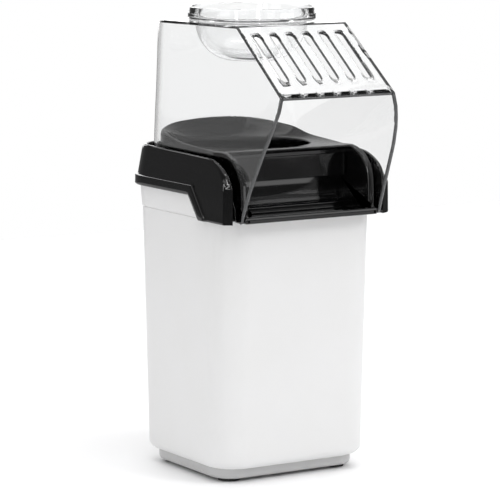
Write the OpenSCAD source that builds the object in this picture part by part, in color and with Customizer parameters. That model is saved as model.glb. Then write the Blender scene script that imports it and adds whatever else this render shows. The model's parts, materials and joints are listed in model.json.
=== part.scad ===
// Hot-air popcorn maker for the worktop.
// A white housing with a black collar and chute, and a clear hood that holds a measuring cup.
// X runs across the front, the outlet faces -Y, and the feet stand on Z = 0.

/* [Housing] */
// Width of the housing at its shoulder
shoulder_w = 101; // [98:0.5:103]
// Depth of the housing at its shoulder
shoulder_d = 102.4; // [99:0.2:103]
// Width of the housing just above its rounded foot
foot_w = 99; // [94:0.5:100]
// Depth of the housing just above its rounded foot
foot_d = 90.8; // [86:0.2:98]
// Height of the shoulder line above the table
shoulder_z = 147.3; // [140:0.5:150]
// Wall thickness of the housing
housing_wall = 2.2; // [1.6:0.1:2.8]
// Width of the plinth
plinth_w = 90.8; // [86:0.2:92]
// Depth of the plinth
plinth_d = 79; // [76:0.5:84]
// Height at which the housing starts above the table
plinth_top = 7.8; // [6:0.2:9]

/* [Collar] */
// Outside width and depth of the collar's lip
lip_size = 110; // [109:0.5:112]
// Outside width and depth of the collar at its top
collar_top_size = 101.2; // [100:0.2:103]
// Height of the collar's top edge above the table
collar_top_z = 182; // [180:0.5:184]
// Height of the lip's lower edge above the table
lip_z = 159.3; // [158:0.2:162]
// Height of the front skirt's lower edge above the table
skirt_z = 146.4; // [146:0.2:148]

/* [Chute] */
// Width of the chute across its cheeks
chute_w = 86; // [84:0.2:86.4]
// How far the chute's lip stands in front of the housing's axis
chute_reach = 60.5; // [58:0.5:62]
// Height of the chute's top front edge
chute_top_z = 183.6; // [182:0.2:185]
// Height of the dish's rear rim
dish_rear_z = 194.4; // [190:0.2:196]

/* [Hood] */
// Height of the hood's flat top
hood_top_z = 251.9; // [246:0.1:256]
// Wall thickness of the hood
hood_wall = 1.6; // [1.4:0.1:1.8]
// How far the visor stands in front of the housing's axis
visor_reach = 85.5; // [80:0.5:90]
// Height of the visor's lower edge
visor_z = 216.2; // [212:0.2:220]
// Number of vent slots in the visor
vent_count = 6; // [4:1:7]
// Distance between neighbouring vent slots
vent_pitch = 10.6; // [9.5:0.1:10.8]

/* [Cup] */
// Outside diameter of the measuring cup's ring
cup_ring_d = 71.4; // [66:0.2:72]
// Height of the cup's top edge above the table
cup_top_z = 260; // [257:0.2:262]
// Height of the cup's lowest point above the table
cup_floor_z = 229.6; // [226:0.2:236]

/* [Air and heat] */
// Inner diameter of the popping chamber
chamber_d = 66; // [60:0.5:66]
// Height of the chamber's floor
chamber_floor_z = 106; // [104:0.5:112]
// Number of air slots in the chamber's wall
slot_count = 12; // [8:1:16]
// Outer diameter of the steel heat shield
shield_d = 76; // [74:0.5:77]
// Diameter of the blower wheel
impeller_d = 64; // [56:1:66]
// Number of blower blades
blade_count = 10; // [6:1:14]

/* [Motor] */
// Outer diameter of the motor's can
motor_d = 27.7; // [24:0.1:30]
// Length of the motor's can
motor_length = 36; // [30:0.5:38]
// Diameter of the motor's shaft
shaft_d = 2.3; // [2:0.1:3.2]

/* [Mains] */
// Diameter of the lead that the gland takes
lead_d = 6.8; // [5.6:0.1:7.4]
// Height of the gland above the table
gland_z = 24; // [22:0.5:30]
// Height of the switch above the table
switch_z = 44; // [38:0.5:60]
// Sideways place of the switch
switch_x = 20; // [12:0.5:24]

/* [Hidden] */

// The origin is the middle of the whole box, so the housing's axis stands behind it
lip_reach = lip_size / 2;
axis_y = (visor_reach - lip_reach) / 2;
// The pot and the blower share one upright axis a little behind the housing's
pot_y = 6;
cup_y = 2.7;

eps = 0.01;
corner_r = 17;
lip_corner_r = 22;
housing_top_z = 164;
foot_round = 4.6;
foot_show = 1.9;
spigot_h = 7;
foot_x = 34.5;
foot_y = 29;
screw_x = 38;
rib_reach = foot_w / 2 - screw_x - housing_wall / 2;
screw_y = 12;
duct_posts = [[37, 34], [37, -27]];
chute_posts = [[39.4, 31], [39.4, -15]];
shelf_z = 164.8;
shelf_h = 2;
// front end of the shelf, where the hood's lower edge starts to drop
shelf_front_y = -22;
dish_w = 88;
dish_d = 89.6;
dish_corner = 23;
dish_hole_z = 182.4;
dish_front_y = -36;
rim_radius = 221;
rim_tilt = 3.9;
wing_top_y = -31;
wing_front_y = -54.4;
wing_front_z = 163.5;
lip_band = 5.8;
collar_inner_w = 97.8;
visor_top_y = -38.5;
cup_hole_r = 31.6;
shield_bottom_z = 84;
fan_floor_z = 62;
motor_bottom_z = 22;
rocker_in = 1.6;
rocker_tilt = 7;
pin_r = 1.2;
motor_top_z = motor_bottom_z + motor_length;
coil_z = 95;
coil_radii = [14, 20, 26];
chamber_flange_z = 171.6;
flange_w = 2.4;
neck_z = 140;
visor_slope = atan((hood_top_z - visor_z) / (visor_reach + visor_top_y));
wall_slope = atan((shoulder_d - foot_d) / 2 / (shoulder_z - plinth_top));

// Half depth of the housing's rear wall at a height
function rear_y(z) = foot_d / 2 + (z - plinth_top) * tan(wall_slope);
// Height of the visor's outer face at a depth, and the depth at a height
function visor_top_line(y) = hood_top_z + (y - visor_top_y) * tan(visor_slope);
function visor_y(z) = visor_top_y - (hood_top_z - z) / tan(visor_slope);
// Points along an arc, from one angle to another
function arc(cx, cy, rx, ry, from, to, steps) =
    [for (i = [0 : steps]) let (a = from + (to - from) * i / steps) [cx + rx * cos(a), cy + ry * sin(a)]];

// Everything is drawn about the housing's axis and then set on the part's own origin
module on_axis() {
    translate([0, axis_y, 0]) children();
}

module on_pot_axis() {
    translate([0, axis_y + pot_y, 0]) children();
}

module rounded_rect(w, d, r) {
    square([w - 2 * r, d], center = true);
    square([w, d - 2 * r], center = true);
    for (sx = [-1, 1], sy = [-1, 1]) {
        translate([sx * (w / 2 - r), sy * (d / 2 - r)]) circle(r = r, $fn = 48);
    }
}

module slab(z, w, d, r, h = eps) {
    translate([0, 0, z]) linear_extrude(h) rounded_rect(w, d, r);
}

module drafted(z0, w0, d0, r0, z1, w1, d1, r1) {
    hull() {
        slab(z0, w0, d0, r0);
        slab(z1 - eps, w1, d1, r1);
    }
}

module on_cup_axis() {
    translate([0, axis_y + cup_y, 0]) children();
}

module tube(z0, z1, outer_r, inner_r) {
    difference() {
        translate([0, 0, z0]) cylinder(h = z1 - z0, r = outer_r, $fn = 96);
        translate([0, 0, z0 - 1]) cylinder(h = z1 - z0 + 2, r = inner_r, $fn = 96);
    }
}

// A side profile in (y, z), carried across the whole width
module across(points, half = 80) {
    rotate([90, 0, 90]) linear_extrude(2 * half, center = true) polygon(points);
}

// Stands a piece on the sloping rear wall: local +Y points out of the wall
module on_rear_wall(x, z) {
    translate([x, rear_y(z), z]) rotate([-wall_slope, 0, 0]) children();
}

module ring_of(count, start = 0) {
    for (i = [0 : count - 1]) rotate([0, 0, start + 360 * i / count]) children();
}

module screw(length, shank_r, head_r, head_h) {
    difference() {
        union() {
            cylinder(h = length, r = shank_r, $fn = 24);
            cylinder(h = head_h, r = head_r, $fn = 32);
        }
        translate([0, 0, -eps]) linear_extrude(head_h * 0.6) square([head_r * 1.1, head_r * 0.25], center = true);
        translate([0, 0, -eps]) linear_extrude(head_h * 0.6) square([head_r * 0.25, head_r * 1.1], center = true);
    }
}

// ---- Housing ----

module housing_shell(inset) {
    hull() {
        for (a = [0 : 30 : 90]) {
            shrink = 2 * foot_round * (1 - sin(a)) + 2 * inset;
            slab(plinth_top + foot_round * (1 - cos(a)), foot_w - shrink, foot_d - shrink, corner_r - inset - 1);
        }
        slab(shoulder_z - eps, shoulder_w - 2 * inset, shoulder_d - 2 * inset, corner_r - inset + 1);
    }
}

module body_housing() {
    flare = 3;
    color("whitesmoke") on_axis() difference() {
        union() {
            housing_shell(0);
            drafted(shoulder_z - eps, shoulder_w + 1, shoulder_d + 1, corner_r + 1.5,
                housing_top_z, shoulder_w + flare, shoulder_d + flare, corner_r + 2);
        }
        translate([0, 0, -eps]) housing_shell(housing_wall);
        slab(plinth_top - 1, foot_w - 2 * foot_round - 2 * housing_wall, foot_d - 2 * foot_round - 2 * housing_wall,
            corner_r - 5, 3);
        drafted(shoulder_z - 0.1, shoulder_w - 3.4, shoulder_d - 3.4, corner_r - 1,
            housing_top_z + 1, shoulder_w + flare - 4.4, shoulder_d + flare - 4.4, corner_r);
        // the front is cut down for the chute, lowest between the wings
        across([[-90, 147.4], [-34, 147.4], [-34, 152], [-30, 152], [-19, housing_top_z + 2], [-90, housing_top_z + 2]]);
        across([[-90, skirt_z], [-34, skirt_z], [-34, housing_top_z + 2], [-90, housing_top_z + 2]], chute_w / 2 + 0.6);
        on_rear_wall(switch_x, switch_z) cube([13.4, 20, 19.6], center = true);
        on_rear_wall(-switch_x, gland_z) rotate([90, 0, 0]) cylinder(h = 20, r = 7.2, center = true, $fn = 48);
    }
    // bosses for the plinth's screws and posts for the air duct, tied to the walls by ribs
    color("whitesmoke") on_axis() for (sx = [-1, 1]) {
        for (sy = [-1, 1]) translate([sx * screw_x, sy * screw_y, 0]) {
            tube(foot_show + 5.1, 22, 3.1, 1.45);
            translate([sx * (rib_reach + 2.2) / 2, 0, 18.2]) cube([rib_reach - 2.2, 2, 7.6], center = true);
        }
        for (p = duct_posts) translate([sx * p[0], p[1], 0]) {
            tube(30, fan_floor_z, 3.2, 1.25);
            translate([sx * (rib_reach + 3.2) / 2, 0, 46]) cube([rib_reach - 1.2, 2, 31.8], center = true);
        }
    }
}

module base_plate() {
    inner_w = plinth_w - 6;
    inner_d = plinth_d - 6;
    color("gainsboro") on_axis() difference() {
        union() {
            difference() {
                union() {
                    hull() {
                        slab(foot_show, plinth_w - 3, plinth_d - 3, 12);
                        slab(foot_show + 0.6, plinth_w - 1, plinth_d - 1, 13);
                        slab(foot_show + 2 - eps, plinth_w, plinth_d, 13.5);
                    }
                    slab(foot_show + 2, plinth_w, plinth_d, 13.5, plinth_top - foot_show - 2);
                    // spigot that locates the plate inside the housing
                    slab(plinth_top - 1, inner_w + 1.6, inner_d + 1.6, 11, spigot_h);
                }
                slab(foot_show + 2.4, inner_w - 2.4, inner_d - 2.4, 9, 20);
            }
            for (sx = [-1, 1], sy = [-1, 1]) {
                translate([sx * foot_x, sy * foot_y, foot_show + 1]) cylinder(h = 4, r = 7.6, $fn = 48);
                translate([sx * screw_x, sy * screw_y, foot_show + 1]) cylinder(h = 4, r = 4.2, $fn = 48);
            }
        }
        // rings of the air inlet, bridged by ribs
        for (r = [8 : 6 : 26]) difference() {
            translate([0, pot_y, 0]) tube(0, 10, r + 2.6, r);
            for (a = [0, 60, 120]) translate([0, pot_y, 5]) rotate([0, 0, a]) cube([80, 4, 12], center = true);
        }
        for (sx = [-1, 1], sy = [-1, 1]) {
            translate([sx * foot_x, sy * foot_y, 0]) cylinder(h = 3.6, r = 6.3, $fn = 48);
            translate([sx * foot_x, sy * foot_y, 0]) cylinder(h = 20, r = 2.4, $fn = 32);
            translate([sx * screw_x, sy * screw_y, 0]) cylinder(h = 20, r = 1.7, $fn = 32);
            translate([sx * screw_x, sy * screw_y, 0]) cylinder(h = 3.8, r = 3.2, $fn = 32);
        }
    }
}

module feet() {
    color("black") on_axis() for (sx = [-1, 1], sy = [-1, 1]) {
        translate([sx * foot_x, sy * foot_y, 0]) {
            cylinder(h = 3.5, r = 6.2, $fn = 48);
            cylinder(h = 8, r = 2.3, $fn = 32);
        }
    }
}

module base_screws() {
    color("silver") on_axis() for (sx = [-1, 1], sy = [-1, 1]) {
        translate([sx * screw_x, sy * screw_y, 2]) screw(14, 1.4, 3.1, 1.8);
    }
}

// ---- Collar ----

// Lower edge of the collar seen from the side: level behind, down the slant, level at the front
function collar_low(shift) = [
    [70, lip_z + shift], [-19 - shift * 0.55, lip_z + shift], [-29.5 - shift * 0.55 - shift * 0.7, skirt_z]
];
// Upper edge seen from the side: a slight fall to the front and a quarter round down the wing
function collar_high() = concat(
    [[70, collar_top_z + 0.8], [wing_top_y, collar_top_z - 1.2]],
    arc(wing_top_y, wing_front_z, wing_front_y - wing_top_y, collar_top_z - 1.2 - wing_front_z, 84, 0, 12),
    [[wing_front_y, skirt_z]]
);

// One level of a shell with round corners behind and square corners in front
module open_level(z, half, back, front, r) {
    translate([0, 0, z]) linear_extrude(eps) polygon(concat(
        arc(half - r, back - r, r, r, 0, 90, 10),
        arc(-half + r, back - r, r, r, 90, 180, 10),
        [[-half, front + 1.6], [-half + 1, front], [half - 1, front], [half, front + 1.6]]
    ));
}

module collar_outside() {
    half = lip_reach - 1.3;
    hull() {
        open_level(skirt_z, half + 0.2, lip_reach - 0.9, wing_front_y, lip_corner_r - 1);
        open_level(lip_z + 4, half, lip_reach - 1.4, wing_front_y, lip_corner_r - 2);
        open_level(collar_top_z + 1, collar_top_size / 2, collar_top_size / 2, wing_front_y, corner_r + 1);
    }
}

// The rib along a wing's inner edge stands a little proud of the wing
function wing_rib() = concat(
    [[-20, skirt_z], [-20, collar_top_z - 2.4], [wing_top_y, collar_top_z - 2.4]],
    arc(wing_top_y, 150, -25.8, collar_top_z - 152.4, 84, 0, 12),
    [[wing_top_y - 25.8, skirt_z]]
);

module collar() {
    low = collar_low(0);
    high = collar_low(lip_band);
    color("black") on_axis() difference() {
        union() {
            intersection() {
                collar_outside();
                across(concat(collar_high(), [low[2], low[1], low[0]]));
            }
            intersection() {
                hull() {
                    open_level(skirt_z, lip_reach, lip_reach, wing_front_y, lip_corner_r);
                    open_level(lip_z + lip_band + 1, lip_reach, lip_reach, wing_front_y, lip_corner_r);
                }
                across(concat(low, [high[2], high[1], high[0]]));
            }
            intersection() {
                across(wing_rib(), collar_inner_w / 2 + 2);
                translate([0, -60, 150]) cube([200, 70, 100], center = true);
            }
        }
        // room for the housing's top, and for the hood's wall above it
        slab(skirt_z - 1, shoulder_w + 2.4, shoulder_d + 2.4, corner_r + 1, 153.4 - skirt_z);
        difference() {
            slab(152, shoulder_w + 3.8, shoulder_d + 3.8, corner_r + 2, shelf_z - 152);
            translate([0, -61, 150]) cube([200, 60, 100], center = true);
        }
        difference() {
            slab(skirt_z - 1, collar_inner_w, collar_inner_w, corner_r, 60);
            collar_shelf();
        }
        // the front between the wings is open
        translate([0, -61, 150]) cube([collar_inner_w, 62, 200], center = true);
        for (sx = [-1, 1], p = chute_posts) translate([sx * p[0], p[1], 0]) cylinder(h = 400, r = 1.2, $fn = 24);
    }
    color("black") on_axis() difference() {
        union() {
            collar_shelf();
            // floor of the groove between each wing and the chute
            for (sx = [-1, 1]) translate([sx * 48.1 - 4.7, -52, 147.6]) cube([9.4, 18, 1.8]);
        }
        for (sx = [-1, 1], p = chute_posts) translate([sx * p[0], p[1], 0]) cylinder(h = 400, r = 1.2, $fn = 24);
    }
}

// Shelf inside the collar that carries the chute
module collar_shelf() {
    difference() {
        union() {
            difference() {
                slab(shelf_z, collar_inner_w + 0.6, collar_inner_w + 0.6, corner_r, shelf_h);
                slab(shelf_z - 1, dish_w - 4, dish_w - 4, corner_r - 4, shelf_h + 2);
            }
            for (sx = [-1, 1], p = chute_posts) translate([sx * p[0], p[1], shelf_z])
                cylinder(h = shelf_h, r = 3.6, $fn = 48);
        }
        translate([0, shelf_front_y - 50, 150]) cube([200, 100, 200], center = true);
    }
}

module collar_screws() {
    color("silver") on_axis() for (sx = [-1, 1], p = chute_posts) {
        translate([sx * p[0], p[1], shelf_z - 1.4]) screw(9, 1.1, 2.2, 1.4);
    }
}

// ---- Chute and dish ----

// The outlet trough seen from the side: a hollow wall, a step and the floor
function trough_face() = concat(
    [[-34.6, chute_top_z + 2], [-34.6, chute_top_z - 0.6]],
    arc(-42, 168, 9.2, 15.4, 70, -62, 14),
    [[-38.6, 152.6], [-40.6, 152.6], [-40.6, 149.4], [-chute_reach - 2, 148.4]]
);
function cheek_edge() = concat(
    [[-30, chute_top_z], [-34.6, chute_top_z]],
    arc(-34.6, 164, -(chute_reach - 3.4 - 34.6), chute_top_z - 164, 82, 0, 12),
    [[-chute_reach + 3.4, 154], [-chute_reach + 2.6, 151], [-chute_reach, 149.4], [-chute_reach, 146.8], [-30, 146.8]]
);

// The dish's rim lies on a wide cylinder that is tilted up towards the rear
module rim_surface() {
    translate([0, dish_d / 2, dish_rear_z]) rotate([rim_tilt, 0, 0]) translate([0, 0, -rim_radius]) rotate([90, 0, 0])
        cylinder(h = 300, r = rim_radius, center = true, $fn = 360);
}
function rim_z(p) = dish_rear_z - p[0] * p[0] / (2 * rim_radius) - (dish_d / 2 - p[1]) * tan(rim_tilt);

// Right half of the dish's inner edge seen from above, narrowing to the front with the hood
function dish_edge() = let (half = dish_w / 2 - 1.3, back = dish_d / 2 - 1.3, r = dish_corner - 1.3) concat(
    [[6, dish_front_y], [18, dish_front_y], [30, dish_front_y], [half - 2.1, dish_front_y], [half - 1.5, -18],
        [half - 1.1, -6], [half - 0.7, 6]],
    arc(half - r, back - r, r, r, 0, 90, 12),
    [[half - r - 11, back]]
);

// The funnel's empty space: a ring at the pot's mouth, the sloping rim, and everything over it
module funnel_space(mouth_r) {
    right = dish_edge();
    last = len(right) - 1;
    loop = concat(right, [for (i = [last : -1 : 0]) [-right[i][0], right[i][1]]]);
    n = len(loop);
    polyhedron(
        points = concat(
            [for (p = loop) let (a = atan2(p[1] - pot_y, p[0])) [mouth_r * cos(a), pot_y + mouth_r * sin(a), dish_hole_z]],
            [for (p = loop) [p[0], p[1], p[1] < dish_front_y + 1 ? chute_top_z + 0.1 : rim_z(p) - 0.8]],
            [for (p = loop) [p[0], p[1], 215]],
            [[0, pot_y, dish_hole_z], [0, pot_y, 215]]
        ),
        faces = concat(
            [for (i = [0 : n - 1]) [3 * n, i, (i + 1) % n]],
            [for (k = [0, 1], i = [0 : n - 1]) let (j = (i + 1) % n) [k * n + i, (k + 1) * n + i, k * n + j]],
            [for (k = [0, 1], i = [0 : n - 1]) let (j = (i + 1) % n) [k * n + j, (k + 1) * n + i, (k + 1) * n + j]],
            [for (i = [0 : n - 1]) [3 * n + 1, 2 * n + (i + 1) % n, 2 * n + i]]
        )
    );
}

module chute_mass() {
    // cheeks and trough block
    intersection() {
        across(cheek_edge(), chute_w / 2);
        translate([0, -60, 170]) cube([200, 58.8, 100], center = true);
    }
    // the dish and its skirt, rising to the rear
    intersection() {
        slab(shelf_z + shelf_h, dish_w, dish_d, dish_corner, 40);
        rim_surface();
        translate([0, 15.4, 180]) cube([200, 100, 100], center = true);
    }
    for (sx = [-1, 1], p = chute_posts) translate([sx * p[0], p[1], shelf_z + shelf_h])
        cylinder(h = 12, r = 3, $fn = 32);
}

module chute() {
    mouth_r = chamber_d / 2 + 0.3;
    color("black") on_axis() difference() {
        intersection() {
            chute_mass();
            hood_mass(hood_wall + 0.3, 30);
        }
        funnel_space(mouth_r + 0.8);
        translate([0, pot_y, 150]) cylinder(h = dish_hole_z - 149.9, r = mouth_r, $fn = 96);
        // the underside is hollow round the neck, except at the screw posts
        difference() {
            slab(140, dish_w - 3, dish_w - 3, 20.5, 38);
            translate([0, -60, 160]) cube([120, 58.8, 60], center = true);
            for (sx = [-1, 1], p = chute_posts) translate([sx * p[0], p[1], 140]) cylinder(h = 40, r = 3, $fn = 32);
        }
        for (sx = [-1, 1], p = chute_posts) translate([sx * p[0], p[1], 140]) cylinder(h = 36, r = 1.15, $fn = 24);
        // the outlet trough between the cheeks
        across(concat(trough_face(), [[-90, 148.4], [-90, 200]]), chute_w / 2 - 4.2);
    }
}

// ---- Hood ----

// One level of the hood: round corners behind, straight sides that close in towards the open front.
// forward carries the sides on past their front edge by that many millimetres.
module hood_level(z, rear_half, rear_y, front_half, front_y, r, inset = 0, forward = 0) {
    rh = rear_half - inset;
    ry = rear_y - inset;
    fh = front_half - inset;
    reach = forward / (ry - r - front_y);
    far_half = fh + (fh - rh) * reach;
    points = concat(
        arc(rh - r, ry - r, r, r, 0, 90, 8),
        arc(-rh + r, ry - r, r, r, 90, 180, 8),
        [[-far_half, front_y - forward], [far_half, front_y - forward]]
    );
    translate([0, 0, z]) linear_extrude(eps) polygon(points);
}

module hood_mass(inset = 0, forward = 0) {
    hull() {
        hood_level(142, 47.2, 47.4, 45.4, -57.5, 20, inset, forward);
        hood_level(151, 47.1, 47.3, 45.2, -60.5, 20, inset, forward);
        hood_level(164, 46.8, 47.1, 44.6, -66, 20, inset, forward);
        hood_level(187, 46, 46.7, 42.6, -77.3, 19, inset, forward);
        hood_level(199, 45.5, 46.6, 40.6, -82.7, 19, inset, forward);
        hood_level(209, 45, 46.5, 38.2, -visor_reach, 19, inset, forward);
        hood_level(visor_z - eps, 44.6, 46.5, 36.5, -visor_reach, 19, inset, forward);
        hood_level(240, 43.2, 46.5, 35.9, visor_y(240), 18, inset, forward);
        hood_level(249.4 - inset, 42.6, 46.4, 35.6, visor_y(249.4), 18, inset, forward);
        hood_level(hood_top_z - eps - inset, 41.4, 45.6, 35.3, visor_top_y, 17, inset, forward);
    }
}

// Everything under the visor's and the top's inner faces
module under_visor() {
    drop = hood_wall / cos(visor_slope);
    shift = drop - hood_wall;
    across([[70, 120], [70, hood_top_z - hood_wall], [visor_top_y + shift / tan(visor_slope), hood_top_z - hood_wall],
        [-120, visor_top_line(-120) - drop], [-120, 120]]);
}

module vent_slots() {
    slot_r = 2.5;
    slot_from = 7.6;
    slot_to = 46.2;
    // local -Y runs down the visor, local +Z stands out of it
    translate([0, visor_top_y, hood_top_z]) rotate([visor_slope, 0, 0]) for (i = [0 : vent_count - 1]) {
        x = (i - (vent_count - 1) / 2) * vent_pitch;
        translate([x, -slot_from - slot_r, -6]) cylinder(h = 12, r = slot_r, $fn = 32);
        translate([x, -slot_to + slot_r, -6]) cylinder(h = 12, r = slot_r, $fn = 32);
        translate([x - slot_r, -slot_to + slot_r, -6]) cube([2 * slot_r, slot_to - slot_from - 2 * slot_r, 12]);
    }
}

module hood() {
    color([0.9, 0.95, 1, 0.4]) on_axis() difference() {
        hood_mass();
        intersection() {
            hood_mass(hood_wall, 30);
            under_visor();
        }
        translate([0, cup_y, 240]) cylinder(h = 20, r = cup_hole_r, $fn = 96);
        vent_slots();
        // lower edge: level in the collar's groove, then down round the wing to the rounded front corner
        across(concat(
            [[80, 130], [80, shelf_z + shelf_h + 0.05], [-22, shelf_z + shelf_h + 0.05]],
            arc(-22, 152.5, -30.5, shelf_z + shelf_h - 152.45, 90, 8, 10),
            [[-52.5, 151]],
            arc(-55.6, 151, 3.2, 3.8, 0, -90, 5),
            [[-58, 147.2], [-80, 147.2], [-80, 130]]
        ));
    }
}

// ---- Measuring cup ----

module measuring_cup() {
    ring_r = cup_ring_d / 2;
    bowl_r = 31;
    wall = 1.6;
    depth = hood_top_z - cup_floor_z;
    color([0.9, 0.95, 1, 0.4]) on_cup_axis() {
        rotate_extrude($fn = 96) polygon(concat(
            [[0, cup_floor_z]],
            arc(10, cup_floor_z + depth, bowl_r - 10, depth, -84, -4, 12),
            [[bowl_r, hood_top_z + 0.3], [ring_r, hood_top_z + 0.3], [ring_r, cup_top_z], [ring_r - wall, cup_top_z],
                [ring_r - wall, hood_top_z + 2], [bowl_r - wall, hood_top_z + 2]],
            arc(10, cup_floor_z + depth, bowl_r - 10 - wall, depth - wall, -4, -84, 12),
            [[0, cup_floor_z + wall]]
        ));
        // lugs inside the ring and the pair of finger tabs
        for (a = [62, 118, 242, 298]) rotate([0, 0, a]) translate([ring_r - wall - 2.6, -4, hood_top_z + 2 - eps])
            cube([3, 8, 3.4]);
    }
}

// ---- Popping chamber and heater ----

module popping_chamber() {
    r = chamber_d / 2;
    wall = 0.9;
    color("lightgray") on_pot_axis() difference() {
        rotate_extrude($fn = 96) polygon([
            [0, chamber_floor_z + 3], [8, chamber_floor_z + 2.6], [20, chamber_floor_z], [r - 6, chamber_floor_z],
            [r - 1.4, chamber_floor_z + 5], [r, chamber_floor_z + 12], [r, chamber_flange_z + 2.5],
            [r - wall, chamber_flange_z + 2.5], [r - wall, chamber_floor_z + 12],
            [r - wall - 1.4, chamber_floor_z + 5.4], [r - 6.4, chamber_floor_z + wall],
            [20, chamber_floor_z + wall], [8, chamber_floor_z + 2.6 + wall], [0, chamber_floor_z + 3 + wall]
        ]);
        ring_of(slot_count) translate([r, 0, chamber_floor_z + 14]) rotate([30, 0, 0])
            cube([8, 1.8, 14], center = true);
    }
    color("lightgray") on_pot_axis() tube(chamber_flange_z, chamber_flange_z + 0.9, r + flange_w, r);
}

module chamber_gasket() {
    r = chamber_d / 2;
    color("dimgray") on_pot_axis() tube(chamber_flange_z - 1.6, chamber_flange_z, r + flange_w, r + 0.05);
}

module heat_shield() {
    r = shield_d / 2;
    neck_r = chamber_d / 2 + 1.7;
    wall = 0.7;
    color("silver") on_pot_axis() difference() {
        rotate_extrude($fn = 96) polygon([
            [r - 6, shield_bottom_z], [r + 1.8, shield_bottom_z], [r + 1.8, shield_bottom_z + 0.8],
            [r, shield_bottom_z + 0.8], [r, neck_z], [neck_r, neck_z + 4], [neck_r, chamber_flange_z - 1.6],
            [neck_r - wall, chamber_flange_z - 1.6], [neck_r - wall, neck_z + 3.6], [r - wall, neck_z - 0.4],
            [r - wall, shield_bottom_z + 0.8], [r - 6, shield_bottom_z + 0.8]
        ]);
        ring_of(4, 45) translate([r - 4.6, 0, shield_bottom_z - 1]) cylinder(h = 3, r = 1.3, $fn = 24);
    }
}

module shield_screws() {
    color("silver") on_pot_axis() ring_of(4, 45) translate([shield_d / 2 - 4.6, 0, shield_bottom_z + 2.4])
        rotate([180, 0, 0]) screw(7, 1.2, 2.4, 1.6);
}

module mica_card() {
    difference() {
        translate([-31, -0.4, shield_bottom_z + 2]) cube([62, 0.8, 18]);
        for (r = coil_radii, s = [-1, 1]) translate([s * r - 1.7, -2, coil_z - 1.7]) cube([3.4, 4, 20]);
    }
}

module mica_cards() {
    color("burlywood") on_pot_axis() {
        rotate([0, 0, 20]) difference() {
            mica_card();
            translate([-0.45, -2, 0]) cube([0.9, 4, coil_z]);
        }
        rotate([0, 0, 110]) difference() {
            mica_card();
            translate([-0.45, -2, coil_z]) cube([0.9, 4, 20]);
        }
    }
}

module heating_coil() {
    color("dimgray") on_pot_axis() {
        for (r = coil_radii) translate([0, 0, coil_z]) rotate_extrude($fn = 96) translate([r, 0]) circle(r = 1.5, $fn = 24);
        // links between the turns
        for (i = [0, 1]) rotate([0, 0, 65]) translate([coil_radii[i], 0, coil_z]) rotate([0, 90, 0])
            cylinder(h = coil_radii[i + 1] - coil_radii[i], r = 0.6, $fn = 16);
    }
}

module thermostat() {
    color("lightsteelblue") on_pot_axis() rotate([0, 0, 45]) translate([shield_d / 2 + 0.1, 0, 128]) rotate([0, 90, 0]) {
        cylinder(h = 1, r = 8.4, $fn = 64);
        cylinder(h = 5.4, r = 7.2, $fn = 64);
        for (s = [-1, 1]) translate([s * 3.6 - 0.4, -2.4, 5.3]) cube([0.8, 4.8, 6]);
    }
}

module thermal_fuse() {
    color("tan") on_pot_axis() rotate([0, 0, 135]) translate([shield_d / 2 + 2.6, 0, 122]) {
        cylinder(h = 12, r = 2, $fn = 32);
        translate([0, 0, -7]) cylinder(h = 26, r = 0.5, $fn = 16);
        // saddle that clips the fuse to the shield
        translate([0, 0, 4]) tube(0, 4, 2.5, 2.02);
    }
}

// ---- Blower ----

module fan_housing() {
    r = shield_d / 2 + 2;
    color("dimgray") on_pot_axis() difference() {
        union() {
            tube(fan_floor_z, shield_bottom_z - 0.1, r - 0.6, r - 2.8);
            tube(fan_floor_z, fan_floor_z + 2.2, r - 1, 19);
            tube(shield_bottom_z - 2.4, shield_bottom_z - 0.1, r - 1, r - 8.6);
            // spokes that carry the motor under the inlet
            for (a = [0, 60, 120]) rotate([0, 0, a]) translate([-25, -2.5, fan_floor_z]) cube([50, 5, 2.2]);
            translate([0, 0, fan_floor_z]) cylinder(h = 2.2, r = 9, $fn = 48);
            // lugs out to the housing's posts
            for (sx = [-1, 1], p = duct_posts) {
                y = p[1] - pot_y;
                translate([sx * p[0], y, fan_floor_z]) cylinder(h = 2.2, r = 4, $fn = 32);
                rotate([0, 0, atan2(y, sx * p[0])]) translate([r - 2, -3, fan_floor_z])
                    cube([norm([p[0], y]) - r + 2, 6, 2.2]);
            }
        }
        for (sx = [-1, 1], p = duct_posts) translate([sx * p[0], p[1] - pot_y, fan_floor_z - 1])
            cylinder(h = 5, r = 1.5, $fn = 24);
        translate([0, 0, fan_floor_z - 1]) cylinder(h = 5, r = 3.4, $fn = 48);
        ring_of(4, 45) translate([shield_d / 2 - 4.6, 0, shield_bottom_z - 6]) cylinder(h = 8, r = 1.2, $fn = 24);
        ring_of(3, 30) translate([shield_d / 2 - 6, 0, fan_floor_z - 1]) cylinder(h = 4, r = 1.5, $fn = 24);
    }
}

module impeller() {
    r = impeller_d / 2;
    color("ivory") on_pot_axis() difference() {
        union() {
            translate([0, 0, 67]) cylinder(h = 1.6, r = r, $fn = 96);
            translate([0, 0, 67]) cylinder(h = 9, r = 5, $fn = 48);
            ring_of(blade_count) translate([5, 0, 68]) rotate([0, 0, 24]) translate([0, -0.7, 0])
                cube([r - 7.4, 1.4, 9]);
        }
        translate([0, 0, 60]) cylinder(h = 30, r = shaft_d / 2, $fn = 48);
    }
}

module motor_shaft() {
    color("silver") on_pot_axis() translate([0, 0, motor_bottom_z - 1]) cylinder(h = 76 - motor_bottom_z + 1, r = shaft_d / 2, $fn = 48);
}

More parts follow.
